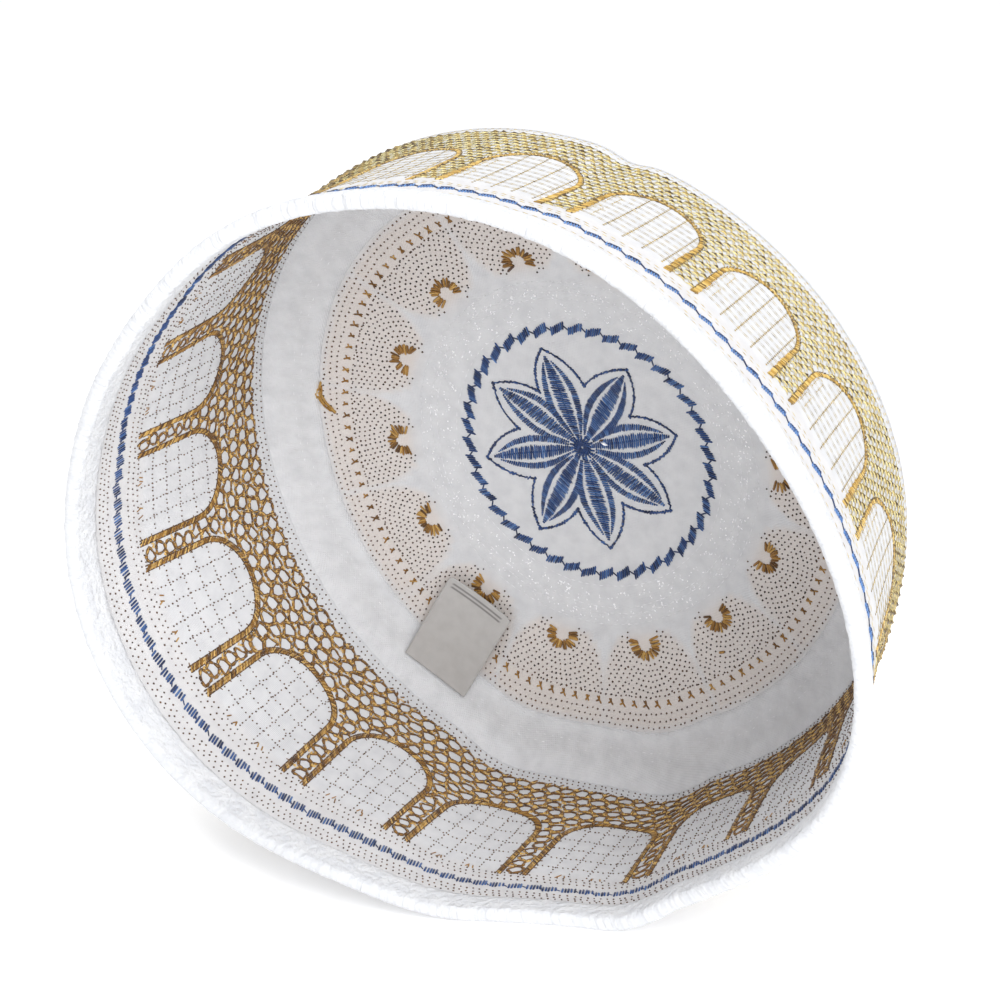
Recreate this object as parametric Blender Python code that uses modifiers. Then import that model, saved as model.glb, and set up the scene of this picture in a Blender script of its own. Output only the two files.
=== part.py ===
"""Soft embroidered round cap lying on its side with the opening towards -Y.

Every piece is a ribbon of cloth turned about the axis of the cap.
The function settle then lays it on its side and gives it the shape of the worn cloth.
"""

import math
from collections import namedtuple

import bmesh
import bpy

# Cloth and gaps, in metres
WALL = 0.0014
GAP = 0.0003
PILE = 0.0009
TAPE = 0.0008
TAG = 0.0007

# Side wall: middle of the cloth, heights counted from the rim towards the crown
RIM_RADIUS = 0.0921
SLOPE = 0.107
WAIST = 0.0014
SHOULDER = 0.0007
SHOULDER_LOW = 0.058
SEAM = 0.0726
SEAM_RADIUS = 0.0843
BAND_LOW = 0.0015
BAND_TOP = 0.0702
BAND_ROWS = 8

# Crown: middle of the cloth from the seam to the centre
Ring = namedtuple("Ring", "radius height")
CROWN = (
    Ring(0.0840, 0.0705),
    Ring(0.0833, 0.0722),
    Ring(0.0816, 0.0737),
    Ring(0.0790, 0.0749),
    Ring(0.0752, 0.0760),
    Ring(0.0712, 0.0771),
    Ring(0.0500, 0.0812),
    Ring(0.0250, 0.0838),
    Ring(0.0, 0.0846),
)

# Tape over the seam: from this height on the wall to this ring of the crown
TAPE_LOW = 0.0688
TAPE_RINGS = 6

# Folded binding of the rim: length of each leg
LEG = 0.0070
LEG_ROWS = 2
NOSE_STEPS = 4

# Tab with its sewn end near the seam: place and direction on the crown
TAG_BASE = (-0.0422, -0.0644)
TAG_HEADING = math.radians(60)
TAG_LENGTH = 0.0262
TAG_WIDTH = 0.0190
TAG_ROWS = 8
TAG_COLUMNS = 4
TAG_CLEAR = 0.0023
TAG_RISE = 0.0012
TAG_CUP = 0.0005

# Worn shape: each row adds cos and sin of the order times the angle
Lobe = namedtuple("Lobe", "order cos sin")
RIM_LOBES = (
    Lobe(2, 0.0069, 0.0007),
    Lobe(3, -0.0016, -0.0058),
    Lobe(4, 0.0001, 0.0022),
    Lobe(5, 0.0018, -0.0015),
)
RIM_WAVES = (
    Lobe(2, 0.0021, 0.0007),
    Lobe(3, -0.0043, -0.0012),
    Lobe(4, -0.0004, 0.0043),
)
CROWN_LOBES = (
    Lobe(2, -0.0009, -0.0012),
    Lobe(3, 0.0008, 0.0007),
)
Dent = namedtuple("Dent", "angle width depth")
RIM_DENTS = (
    Dent(math.radians(318), math.radians(20), 0.0034),
    Dent(math.radians(137), math.radians(17), 0.0022),
)

# The crown sags against the rim, in X and in Z
CROWN_SHIFT = (-0.0007, -0.0043)

# Fold in the wall above the opening, deepest at the seam
FOLD = Dent(math.radians(75), math.radians(3.4), 0.0016)

# Rest on the floor
PITCH = math.radians(4.94)
AXIS_HEIGHT = 0.0845
PRESS_FLAT = 0.0027
PRESS_FLAT_RIM = 0.0007
PRESS_FREE = 0.0105
PRESS_RISE = 0.0011
PRESS_RIM = 0.008
PRESS_WALL = 0.022
ORIGIN = (0.0016, -0.0387)

STEPS = 90


def clear_scene():
    """Remove the objects of the start scene."""
    for old in list(bpy.data.objects):
        bpy.data.objects.remove(old, do_unlink=True)


def clamp(value):
    """Keep a value between 0 and 1."""
    return min(1.0, max(0.0, value))


def lobes(table, angle):
    """Sum of the rows of a table of lobes at one angle."""
    return sum(
        row.cos * math.cos(row.order * angle) + row.sin * math.sin(row.order * angle)
        for row in table
    )


def wall_radius(height):
    """Middle of the wall at one height over the rim."""
    part = height / SEAM
    bend = clamp((height - SHOULDER_LOW) / (SEAM - SHOULDER_LOW))
    return RIM_RADIUS - SLOPE * height - WAIST * 4 * part * (1 - part) - SHOULDER * bend**2


def crown_height(radius):
    """Middle of the crown at one radius."""
    for outer, inner in zip(CROWN, CROWN[1:]):
        if radius >= inner.radius:
            part = (radius - inner.radius) / (outer.radius - inner.radius)
            return inner.height + min(1.0, part) * (outer.height - inner.height)
    return CROWN[-1].height


def dent(row, angle):
    """Depth of one dent at one angle."""
    away = math.remainder(angle - row.angle, math.tau) / row.width
    return row.depth * math.exp(-away * away)


def tilt(radius, angle, height):
    """Place one point of the turned cap in the row's frame, before the floor presses it."""
    fade = clamp(1 - height / SEAM)
    reach = min(1.0, radius / SEAM_RADIUS) ** 2
    out = fade * lobes(RIM_LOBES, angle) + (1 - fade) * lobes(CROWN_LOBES, angle)
    out -= fade * sum(dent(row, angle) for row in RIM_DENTS)
    out -= clamp(height / SEAM) * dent(FOLD, angle)
    along = height + fade * lobes(RIM_WAVES, angle)
    across = (radius + reach * out) * math.cos(angle) + CROWN_SHIFT[0] * height / SEAM
    up = (radius + reach * out) * math.sin(angle) + CROWN_SHIFT[1] * height / SEAM
    return (
        across,
        along * math.cos(PITCH) - up * math.sin(PITCH),
        up * math.cos(PITCH) + along * math.sin(PITCH) + AXIS_HEIGHT,
    )


def press(level, height):
    """How far the floor moves the outer face of the wall that was at this level."""
    rim = clamp((PRESS_WALL - height) / (PRESS_WALL - PRESS_RIM))
    floor = PRESS_RISE * rim
    flat = PRESS_FLAT + (PRESS_FLAT_RIM - PRESS_FLAT) * rim
    over = level - floor
    if over >= PRESS_FREE:
        return 0.0
    if over <= flat:
        return floor - level
    span = PRESS_FREE - flat
    part = (over - flat) / span
    eased = (3 - 2 * part) * part * part * PRESS_FREE + (part - 1) * part * part * span
    return floor + eased - level


def settle(radius, angle, height):
    """Place one point of the turned cap in the row's frame as it lies on the floor."""
    x, y, z = tilt(radius, angle, height)
    at = min(height, SEAM)
    skin = tilt(wall_radius(at) + WALL / 2, angle, at)[2]
    reach = min(1.0, radius / SEAM_RADIUS) ** 4
    return x + ORIGIN[0], y + ORIGIN[1], max(0.0, z + reach * press(skin, height))


def offset(line, distance):
    """Move a line of radius and height sideways, away from the hollow of the cap."""
    moved = []
    for index, (radius, height) in enumerate(line):
        before = line[max(0, index - 1)]
        after = line[min(len(line) - 1, index + 1)]
        run, rise = after[0] - before[0], after[1] - before[1]
        length = math.hypot(run, rise)
        if radius == 0.0:
            moved.append((0.0, height + distance))
        else:
            moved.append((radius + distance * rise / length, height - distance * run / length))
    return moved


def wall_line(low, high, rows):
    """Middle line of the wall between two heights."""
    heights = [low + (high - low) * row / (rows - 1) for row in range(rows)]
    return [(wall_radius(height), height) for height in heights]


def add_object(name, mesh, collection, color, roughness):
    """Add a piece with a material of its own to the collection."""
    material = bpy.data.materials.new(name)
    material.use_nodes = True
    shader = material.node_tree.nodes["Principled BSDF"]
    shader.inputs["Base Color"].default_value = (*color, 1.0)
    shader.inputs["Roughness"].default_value = roughness
    mesh.materials.clear()
    mesh.materials.append(material)
    for polygon in mesh.polygons:
        polygon.use_smooth = True
    piece = bpy.data.objects.new(name, mesh)
    collection.objects.link(piece)
    return piece


def turned_mesh(name, section, closed, collection):
    """Turn a section of radius and height about the axis with a Screw modifier."""
    edges = [(index, index + 1) for index in range(len(section) - 1)]
    if closed:
        edges.append((len(section) - 1, 0))
    profile = bpy.data.meshes.new(name + "_profile")
    profile.from_pydata([(radius, 0.0, height) for radius, height in section], edges, [])
    turned = bpy.data.objects.new(name + "_profile", profile)
    collection.objects.link(turned)
    screw = turned.modifiers.new("Turn", "SCREW")
    screw.axis = "Z"
    screw.steps = STEPS
    screw.render_steps = STEPS
    screw.use_merge_vertices = True
    screw.merge_threshold = 0.00002
    graph = bpy.context.evaluated_depsgraph_get()
    mesh = bpy.data.meshes.new_from_object(turned.evaluated_get(graph))
    bpy.data.objects.remove(turned, do_unlink=True)
    return mesh


def laid_mesh(mesh):
    """Lay a turned mesh on its side as worn cloth, with its faces outwards."""
    for vertex in mesh.vertices:
        x, y, z = vertex.co
        vertex.co = settle(math.hypot(x, y), math.atan2(y, x), z)
    form = bmesh.new()
    form.from_mesh(mesh)
    bmesh.ops.recalc_face_normals(form, faces=form.faces)
    form.to_mesh(mesh)
    form.free()
    return mesh


def make_band(collection):
    """Side wall of the cap."""
    line = wall_line(BAND_LOW, BAND_TOP, BAND_ROWS)
    section = offset(line, WALL / 2) + offset(line, -WALL / 2)[::-1]
    mesh = laid_mesh(turned_mesh("band", section, True, collection))
    return add_object("band", mesh, collection, (0.86, 0.86, 0.88), 0.85)


def make_crown(collection):
    """Domed top of the cap."""
    line = list(CROWN)
    section = offset(line, WALL / 2)[::-1] + offset(line, -WALL / 2)
    mesh = laid_mesh(turned_mesh("crown", section, False, collection))
    return add_object("crown", mesh, collection, (0.82, 0.82, 0.85), 0.85)


def make_rim_binding(collection):
    """Plush tape folded over the edge of the band."""
    line = wall_line(BAND_LOW, BAND_LOW + LEG, LEG_ROWS)
    near = WALL / 2 + GAP
    far = near + PILE
    middle, edge = wall_radius(BAND_LOW), BAND_LOW
    section = offset(line, far)[::-1]
    for step in range(1, NOSE_STEPS):
        turn = math.pi * step / NOSE_STEPS
        section.append((middle + far * math.cos(turn), edge - far * math.sin(turn) * 0.8))
    section += offset(line, -far)
    section += offset(line, -near)[::-1]
    section.append((middle - near, edge - GAP))
    section.append((middle + near, edge - GAP))
    section += offset(line, near)
    mesh = laid_mesh(turned_mesh("rim_binding", section, True, collection))
    return add_object("rim_binding", mesh, collection, (0.93, 0.93, 0.95), 0.95)


def make_seam_tape(collection):
    """Turned-in margin that covers the seam on the inside."""
    line = wall_line(TAPE_LOW, BAND_TOP, 2)[:-1] + list(CROWN[:TAPE_RINGS])
    near = WALL / 2 + GAP
    section = offset(line, -near) + offset(line, -near - TAPE)[::-1]
    mesh = laid_mesh(turned_mesh("seam_tape", section, True, collection))
    return add_object("seam_tape", mesh, collection, (0.80, 0.80, 0.84), 0.80)


def make_label(collection):
    """Bare tab sewn over the tape and leaning against the crown."""
    along = (math.cos(TAG_HEADING), math.sin(TAG_HEADING))
    side = (math.sin(TAG_HEADING), -math.cos(TAG_HEADING))
    form = bmesh.new()
    sheet = []
    for row in range(TAG_ROWS + 1):
        part = row / TAG_ROWS
        for column in range(TAG_COLUMNS + 1):
            sideways = 2 * column / TAG_COLUMNS - 1
            x = TAG_BASE[0] + along[0] * part * TAG_LENGTH + side[0] * sideways * TAG_WIDTH / 2
            y = TAG_BASE[1] + along[1] * part * TAG_LENGTH + side[1] * sideways * TAG_WIDTH / 2
            radius = math.hypot(x, y)
            lift = TAG_CLEAR + TAG_RISE * math.sin(math.pi / 2 * part) + TAG_CUP * part * sideways**2
            sheet.append((radius, math.atan2(y, x), crown_height(radius) - lift))
    wide = TAG_COLUMNS + 1
    faces = [
        (first, first + 1, first + wide + 1, first + wide)
        for row in range(TAG_ROWS)
        for first in range(row * wide, row * wide + TAG_COLUMNS)
    ]
    layers = []
    for deep in (0.0, TAG):
        layers.append([form.verts.new(settle(r, angle, h - deep)) for r, angle, h in sheet])
    for face in faces:
        form.faces.new([layers[0][index] for index in face])
        form.faces.new([layers[1][index] for index in face[::-1]])
    edge = [edge for edge in form.edges if len(edge.link_faces) == 1]
    twin = dict(zip(layers[0], layers[1]))
    for a, b in [tuple(one.verts) for one in edge if one.verts[0] in twin]:
        form.faces.new((a, b, twin[b], twin[a]))
    bmesh.ops.recalc_face_normals(form, faces=form.faces)
    mesh = bpy.data.meshes.new("label")
    form.to_mesh(mesh)
    form.free()
    return add_object("label", mesh, collection, (0.62, 0.60, 0.59), 0.55)


def main():
    """Build every piece of the cap."""
    clear_scene()
    collection = bpy.data.collections.new("round_cap")
    bpy.context.scene.collection.children.link(collection)
    make_band(collection)
    make_crown(collection)
    make_rim_binding(collection)
    make_seam_tape(collection)
    make_label(collection)


main()
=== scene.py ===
"""Looks of a soft embroidered round cap that lies on its side with the opening towards -Y.

Each cloth piece is turned about the axis of the cap, and each thread is sewn on a flat chart.
The class WornShape then lays both where the solids of the cap are.
Lengths are in metres and angles in radians unless a name says otherwise.
"""

import logging
import math
from dataclasses import dataclass, field
from enum import Enum

import bmesh
import bpy
import numpy as np
from mathutils import Matrix

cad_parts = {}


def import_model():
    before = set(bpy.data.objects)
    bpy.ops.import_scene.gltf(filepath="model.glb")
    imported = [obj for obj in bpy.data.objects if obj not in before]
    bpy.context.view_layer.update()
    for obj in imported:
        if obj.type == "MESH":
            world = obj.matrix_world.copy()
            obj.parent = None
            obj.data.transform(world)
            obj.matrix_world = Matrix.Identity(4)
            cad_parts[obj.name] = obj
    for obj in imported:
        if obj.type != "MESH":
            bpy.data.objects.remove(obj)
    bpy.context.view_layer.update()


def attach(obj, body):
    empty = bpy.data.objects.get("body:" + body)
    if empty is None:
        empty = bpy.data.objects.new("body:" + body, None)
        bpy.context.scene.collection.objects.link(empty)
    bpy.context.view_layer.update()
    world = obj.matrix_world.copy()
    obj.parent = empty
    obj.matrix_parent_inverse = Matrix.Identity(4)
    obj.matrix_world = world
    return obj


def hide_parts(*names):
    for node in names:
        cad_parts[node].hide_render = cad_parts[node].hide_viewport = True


LOG = logging.getLogger("round_cap")
MM = 0.001


class Side(Enum):
    """The two faces of the cloth, as a sign along the outward direction."""

    INSIDE = -1
    OUTSIDE = 1


class Chart(Enum):
    """Flat charts that the patterns are drawn on."""

    WALL = "wall"
    CROWN = "crown"


def clamp(value: np.ndarray | float) -> np.ndarray:
    """Keep values between 0 and 1."""
    return np.clip(value, 0.0, 1.0)


def rows_of(*columns: np.ndarray | float) -> np.ndarray:
    """Rows of points from their columns, such as two chart lengths or x, y and z."""
    return np.stack(np.broadcast_arrays(*columns), axis=-1)


def polar(radius: np.ndarray | float, angle: np.ndarray | float) -> np.ndarray:
    """Points of a flat chart from radius and angle."""
    return rows_of(radius * np.cos(angle), radius * np.sin(angle))


def turned_by(angle: float) -> np.ndarray:
    """Matrix that turns rows of chart points by an angle."""
    return np.array([[math.cos(angle), math.sin(angle)], [-math.sin(angle), math.cos(angle)]])


def round_angles(count: int) -> np.ndarray:
    """Even angles round the whole circle."""
    return np.arange(count) * math.tau / count


@dataclass(frozen=True)
class Lobe:
    """One wave round the cap: cos and sin of the order times the angle."""

    order: int
    cos: float
    sin: float


@dataclass(frozen=True)
class Dent:
    """A soft dent along the wall."""

    angle: float
    width: float
    depth: float

    def at(self, angle: np.ndarray) -> np.ndarray:
        """Depth of the dent at each angle."""
        away = (angle - self.angle + math.pi) % math.tau - math.pi
        return self.depth * np.exp(-((away / self.width) ** 2))


@dataclass(frozen=True)
class WornShape:
    """The worn form of the cap, with the same driving sizes as its solids."""

    wall: float = 0.0014
    gap: float = 0.0003
    rim_radius: float = 0.0921
    slope: float = 0.107
    waist: float = 0.0014
    shoulder: float = 0.0007
    shoulder_low: float = 0.058
    seam: float = 0.0726
    seam_radius: float = 0.0843
    ring_radii: tuple = (0.0, 0.0250, 0.0500, 0.0712, 0.0752, 0.0790, 0.0816, 0.0833, 0.0840)
    ring_heights: tuple = (0.0846, 0.0838, 0.0812, 0.0771, 0.0760, 0.0749, 0.0737, 0.0722, 0.0705)
    rim_lobes: tuple = (
        Lobe(2, 0.0069, 0.0007),
        Lobe(3, -0.0016, -0.0058),
        Lobe(4, 0.0001, 0.0022),
        Lobe(5, 0.0018, -0.0015),
    )
    rim_waves: tuple = (
        Lobe(2, 0.0021, 0.0007),
        Lobe(3, -0.0043, -0.0012),
        Lobe(4, -0.0004, 0.0043),
    )
    crown_lobes: tuple = (Lobe(2, -0.0009, -0.0012), Lobe(3, 0.0008, 0.0007))
    rim_dents: tuple = (
        Dent(math.radians(318), math.radians(20), 0.0034),
        Dent(math.radians(137), math.radians(17), 0.0022),
    )
    fold: Dent = Dent(math.radians(75), math.radians(3.4), 0.0016)
    crown_shift: tuple = (-0.0007, -0.0043)
    pitch: float = math.radians(4.94)
    axis_height: float = 0.0845
    press_flat: float = 0.0027
    press_flat_rim: float = 0.0007
    press_free: float = 0.0105
    press_rise: float = 0.0011
    press_rim: float = 0.008
    press_wall: float = 0.022
    origin: tuple = (0.0016, -0.0387)
    dome_blend: float = 0.006
    dome_blend_edge: float = 0.079
    dome_blend_fade: float = 0.012
    creep: tuple = (-0.0033, 0.0141)
    wall_free: tuple = (0.012, 0.066)
    wall_fade: tuple = (0.012, 0.010)
    crown_free: float = 0.066
    crown_fade: float = 0.012
    pleats: tuple = (0.0705, 0.0815)
    pleat_fade: float = 0.003

    def wall_radius(self, height: np.ndarray) -> np.ndarray:
        """Middle of the wall at each height over the rim.

        Args:
            height: distances from the rim plane.

        Returns:
            Distances from the axis.
        """
        part = height / self.seam
        bend = clamp((height - self.shoulder_low) / (self.seam - self.shoulder_low))
        radius = self.rim_radius - self.slope * height - self.waist * 4 * part * (1 - part)
        return radius - self.shoulder * bend**2

    def crown_height(self, radius: np.ndarray) -> np.ndarray:
        """Middle of the crown at each radius, with the corners of the dome rounded.

        Args:
            radius: distances from the axis.

        Returns:
            Distances from the rim plane.
        """
        reach = self.dome_blend * clamp((self.dome_blend_edge - radius) / self.dome_blend_fade)
        steps = np.linspace(-1.0, 1.0, 7)
        samples = [
            np.interp(np.abs(radius + step * reach), self.ring_radii, self.ring_heights)
            for step in steps
        ]
        return np.mean(samples, axis=0)

    def lobes(self, table: tuple, angle: np.ndarray) -> np.ndarray:
        """Sum of a table of lobes at each angle.

        Args:
            table: the lobes.
            angle: angles round the axis.

        Returns:
            Distances outwards or upwards.
        """
        return sum(
            row.cos * np.cos(row.order * angle) + row.sin * np.sin(row.order * angle)
            for row in table
        )

    def tilt(self, radius: np.ndarray, angle: np.ndarray, height: np.ndarray) -> np.ndarray:
        """Place points of the turned cap before the floor presses it.

        Args:
            radius: distances from the axis.
            angle: angles round the axis, from +X towards +Z.
            height: distances from the rim plane towards the crown.

        Returns:
            Points as rows of x, y and z.
        """
        fade = clamp(1 - height / self.seam)
        reach = np.minimum(1.0, radius / self.seam_radius) ** 2
        out = fade * self.lobes(self.rim_lobes, angle)
        out = out + (1 - fade) * self.lobes(self.crown_lobes, angle)
        out = out - fade * sum(row.at(angle) for row in self.rim_dents)
        out = out - clamp(height / self.seam) * self.fold.at(angle)
        along = height + fade * self.lobes(self.rim_waves, angle)
        shift = height / self.seam
        across = (radius + reach * out) * np.cos(angle) + self.crown_shift[0] * shift
        up = (radius + reach * out) * np.sin(angle) + self.crown_shift[1] * shift
        turn = math.cos(self.pitch), math.sin(self.pitch)
        deep = along * turn[0] - up * turn[1]
        level = up * turn[0] + along * turn[1] + self.axis_height
        return rows_of(across, deep, level)

    def press(self, level: np.ndarray, height: np.ndarray) -> np.ndarray:
        """How far the floor moves the outer face of the wall that was at each level.

        Args:
            level: heights of the outer face over the floor before it is pressed.
            height: distances from the rim plane.

        Returns:
            Distances upwards.
        """
        rim = clamp((self.press_wall - height) / (self.press_wall - self.press_rim))
        floor = self.press_rise * rim
        flat = self.press_flat + (self.press_flat_rim - self.press_flat) * rim
        over = level - floor
        span = self.press_free - flat
        part = clamp((over - flat) / span)
        eased = (3 - 2 * part) * part**2 * self.press_free + (part - 1) * part**2 * span
        return np.where(over >= self.press_free, 0.0, floor + eased - level)

    def settle(self, radius: np.ndarray, angle: np.ndarray, height: np.ndarray) -> np.ndarray:
        """Place points of the turned cap as it lies on the floor.

        Args:
            radius: distances from the axis.
            angle: angles round the axis.
            height: distances from the rim plane.

        Returns:
            Points as rows of x, y and z in the frame of the cap.
        """
        radius, angle, height = np.broadcast_arrays(radius, angle, height)
        points = self.tilt(radius, angle, height)
        at = np.minimum(height, self.seam)
        skin = self.tilt(self.wall_radius(at) + self.wall / 2, angle, at)[..., 2]
        reach = np.minimum(1.0, radius / self.seam_radius) ** 4
        points[..., 0] += self.origin[0]
        points[..., 1] += self.origin[1]
        points[..., 2] = np.maximum(0.0, points[..., 2] + reach * self.press(skin, height))
        return points

    def wall_relief(self, angle: np.ndarray, height: np.ndarray) -> np.ndarray:
        """Soft waves of the wall cloth, outwards.

        Args:
            angle: angles round the axis.
            height: distances from the rim plane.

        Returns:
            Distances outwards.
        """
        rise = (height - self.wall_free[0]) / self.wall_fade[0]
        fall = (self.wall_free[1] - height) / self.wall_fade[1]
        waves = 0.16 * np.sin(11 * angle + 1.3 + 38 * height)
        waves = waves + 0.12 * np.sin(19 * angle - 2.1 - 55 * height)
        waves = waves + 0.08 * np.sin(36 * angle + 0.4 + 90 * height)
        return MM * waves * clamp(rise) * clamp(fall)

    def crown_relief(self, x: np.ndarray, y: np.ndarray) -> np.ndarray:
        """Soft waves of the crown cloth, outwards.

        Args:
            x: first chart lengths.
            y: second chart lengths.

        Returns:
            Distances outwards.
        """
        radius = np.hypot(x, y)
        free = clamp((self.crown_free - radius) / self.crown_fade)
        angle = np.arctan2(y, x)
        waves = 0.14 * np.sin(radius * 420) + 0.12 * np.sin(5 * angle + 150 * radius)
        waves = waves + 0.08 * np.sin(14 * angle + 2.0) * clamp(radius / 0.05)
        low, high = self.pleats
        seamed = clamp((radius - low) / self.pleat_fade) * clamp((high - radius) / self.pleat_fade)
        pleats = 0.10 * np.sin(47 * angle + 2.2 * np.sin(5 * angle))
        pleats = pleats + 0.06 * np.sin(83 * angle + 1.5 * np.sin(9 * angle) + 300 * radius)
        return MM * (waves * free + pleats * seamed)

    def lay(self, chart: Chart, points: np.ndarray, lift: np.ndarray) -> np.ndarray:
        """Lay points of a flat chart on the cap.

        Args:
            chart: the chart of the points.
            points: rows of two chart lengths. On the wall chart the first runs round the rim.
            lift: distances outwards from the middle of the cloth.

        Returns:
            Points as rows of x, y and z in the frame of the cap.
        """
        first, second = points[..., 0], points[..., 1]
        if chart is Chart.WALL:
            even = first / self.rim_radius
            angle = even + self.creep[0] + self.creep[1] * np.cos(even)
            out = lift + self.wall_relief(angle, second)
            return self.settle(self.wall_radius(second) + out, angle, second + self.slope * out)
        radius = np.hypot(first, second)
        height = self.crown_height(radius) + lift + self.crown_relief(first, second)
        return self.settle(radius, np.arctan2(second, first), height)


def nodes_of(material: bpy.types.Material) -> tuple:
    """Node tree and shader of a new material.

    Args:
        material: the new material.

    Returns:
        The node tree and its shader.
    """
    material.use_nodes = True
    tree = material.node_tree
    return tree, tree.nodes["Principled BSDF"]


def ramp_of(tree: bpy.types.NodeTree, stops: tuple) -> bpy.types.Node:
    """Colour ramp with the given stops.

    Args:
        tree: the material's nodes.
        stops: pairs of place and colour.

    Returns:
        The ramp node.
    """
    ramp = tree.nodes.new("ShaderNodeValToRGB")
    ramp.color_ramp.elements[0].position, ramp.color_ramp.elements[1].position = 0.0, 1.0
    while len(ramp.color_ramp.elements) < len(stops):
        ramp.color_ramp.elements.new(0.5)
    for element, (place, color) in zip(ramp.color_ramp.elements, stops):
        element.position = place
        element.color = (*color, 1.0)
    return ramp


def add_bump(
    tree: bpy.types.NodeTree, shader: bpy.types.Node, height: bpy.types.NodeSocket,
    strength: float, deep: float,
) -> None:
    """Bump the shader by a height.

    Args:
        tree: the material's nodes.
        shader: the shader that is bumped.
        height: the socket that gives the height.
        strength: part of the height that shows.
        deep: distance that a height of one stands for.
    """
    bump = tree.nodes.new("ShaderNodeBump")
    bump.inputs["Strength"].default_value = strength
    bump.inputs["Distance"].default_value = deep
    tree.links.new(height, bump.inputs["Height"])
    tree.links.new(bump.outputs["Normal"], shader.inputs["Normal"])


@dataclass(frozen=True)
class ThreadFinish:
    """Twisted shiny thread whose colour follows the tone of each stitch."""

    name: str
    dark: tuple
    middle: tuple
    light: tuple
    roughness: float = 0.45
    sheen: float = 0.2
    # Strength of a painted glow: the thread emits its own colour, which brightens its light stitches
    # into painted glints.
    painted_glow: float = 0.0
    twist: float = 900.0
    twist_bump: float = 0.35
    twist_deep: float = 0.0001

    def material(self) -> bpy.types.Material:
        """Make the material.

        Returns:
            The material.
        """
        made = bpy.data.materials.new(self.name)
        tree, shader = nodes_of(made)
        tone = tree.nodes.new("ShaderNodeAttribute")
        tone.attribute_name = "tone"
        ramp = ramp_of(tree, ((0.0, self.dark), (0.5, self.middle), (1.0, self.light)))
        tree.links.new(tone.outputs["Fac"], ramp.inputs["Fac"])
        tree.links.new(ramp.outputs["Color"], shader.inputs["Base Color"])
        # Painted glow: emission in the thread's own colour, though the thread is no lamp.
        if self.painted_glow:
            tree.links.new(ramp.outputs["Color"], shader.inputs["Emission Color"])
            shader.inputs["Emission Strength"].default_value = self.painted_glow
        place = tree.nodes.new("ShaderNodeUVMap")
        place.uv_map = "thread"
        twist = tree.nodes.new("ShaderNodeTexWave")
        twist.bands_direction = "DIAGONAL"
        twist.inputs["Scale"].default_value = self.twist
        tree.links.new(place.outputs["UV"], twist.inputs["Vector"])
        add_bump(tree, shader, twist.outputs["Fac"], self.twist_bump, self.twist_deep)
        shader.inputs["Roughness"].default_value = self.roughness
        shader.inputs["Sheen Weight"].default_value = self.sheen
        return made


@dataclass(frozen=True)
class ClothFinish:
    """Woven cotton or pile: crossed yarns, slubs and a soft stain round the dense stitching."""

    name: str
    color: tuple
    slub: tuple
    stain: tuple
    yarn: float = 0.00042
    weave: float = 1.0
    bump: float = 0.35
    deep: float = 0.00015
    roughness: float = 0.85
    sheen: float = 0.15
    mottle: float = 260.0
    mottle_stops: tuple = (0.3, 0.62)
    yarn_waves: float = 0.314
    yarn_wander: float = 0.6
    slub_waves: float = 0.38
    slub_height: float = 2.0

    def material(self) -> bpy.types.Material:
        """Make the material.

        Returns:
            The material.
        """
        made = bpy.data.materials.new(self.name)
        tree, shader = nodes_of(made)
        place = tree.nodes.new("ShaderNodeUVMap")
        place.uv_map = "cloth"
        weave = self.add_weave(tree, place)
        noise = self.add_noise(tree, place, self.mottle, 4.0)
        tones = ramp_of(tree, tuple(zip(self.mottle_stops, (self.slub, self.color))))
        tree.links.new(noise.outputs["Fac"], tones.inputs["Fac"])
        attribute = tree.nodes.new("ShaderNodeAttribute")
        attribute.attribute_name = "stain"
        mix = tree.nodes.new("ShaderNodeMix")
        mix.data_type = "RGBA"
        tree.links.new(attribute.outputs["Fac"], mix.inputs["Factor"])
        tree.links.new(tones.outputs["Color"], mix.inputs[6])
        mix.inputs[7].default_value = (*self.stain, 1.0)
        tree.links.new(mix.outputs[2], shader.inputs["Base Color"])
        add_bump(tree, shader, weave.outputs["Value"], self.bump, self.deep)
        shader.inputs["Roughness"].default_value = self.roughness
        shader.inputs["Sheen Weight"].default_value = self.sheen
        return made

    def add_noise(
        self, tree: bpy.types.NodeTree, place: bpy.types.Node, scale: float, detail: float
    ) -> bpy.types.Node:
        """Add a noise that follows the cloth.

        Args:
            tree: the material's nodes.
            place: the node that gives the place on the cloth.
            scale: how fine the noise is.
            detail: how many finer rounds it has.

        Returns:
            The noise node.
        """
        noise = tree.nodes.new("ShaderNodeTexNoise")
        noise.inputs["Scale"].default_value = scale
        noise.inputs["Detail"].default_value = detail
        tree.links.new(place.outputs["UV"], noise.inputs["Vector"])
        return noise

    def add_weave(self, tree: bpy.types.NodeTree, place: bpy.types.Node) -> bpy.types.Node:
        """Add crossed yarns with coarser slubs.

        Args:
            tree: the material's nodes.
            place: the node that gives the place on the cloth.

        Returns:
            A node whose value is the height of the weave.
        """
        total = tree.nodes.new("ShaderNodeMath")
        total.operation = "ADD"
        for index, direction in enumerate(("X", "Y")):
            yarns = tree.nodes.new("ShaderNodeTexWave")
            yarns.bands_direction = direction
            yarns.inputs["Scale"].default_value = self.yarn_waves / self.yarn
            yarns.inputs["Distortion"].default_value = self.yarn_wander
            tree.links.new(place.outputs["UV"], yarns.inputs["Vector"])
            tree.links.new(yarns.outputs["Fac"], total.inputs[index])
        weight = tree.nodes.new("ShaderNodeMath")
        weight.operation = "MULTIPLY"
        weight.inputs[1].default_value = self.weave
        tree.links.new(total.outputs["Value"], weight.inputs[0])
        slubs = self.add_noise(tree, place, self.slub_waves / self.yarn, 3.0)
        height = tree.nodes.new("ShaderNodeMath")
        height.operation = "MULTIPLY_ADD"
        height.inputs[1].default_value = self.slub_height
        tree.links.new(slubs.outputs["Fac"], height.inputs[0])
        tree.links.new(weight.outputs["Value"], height.inputs[2])
        return height


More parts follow.
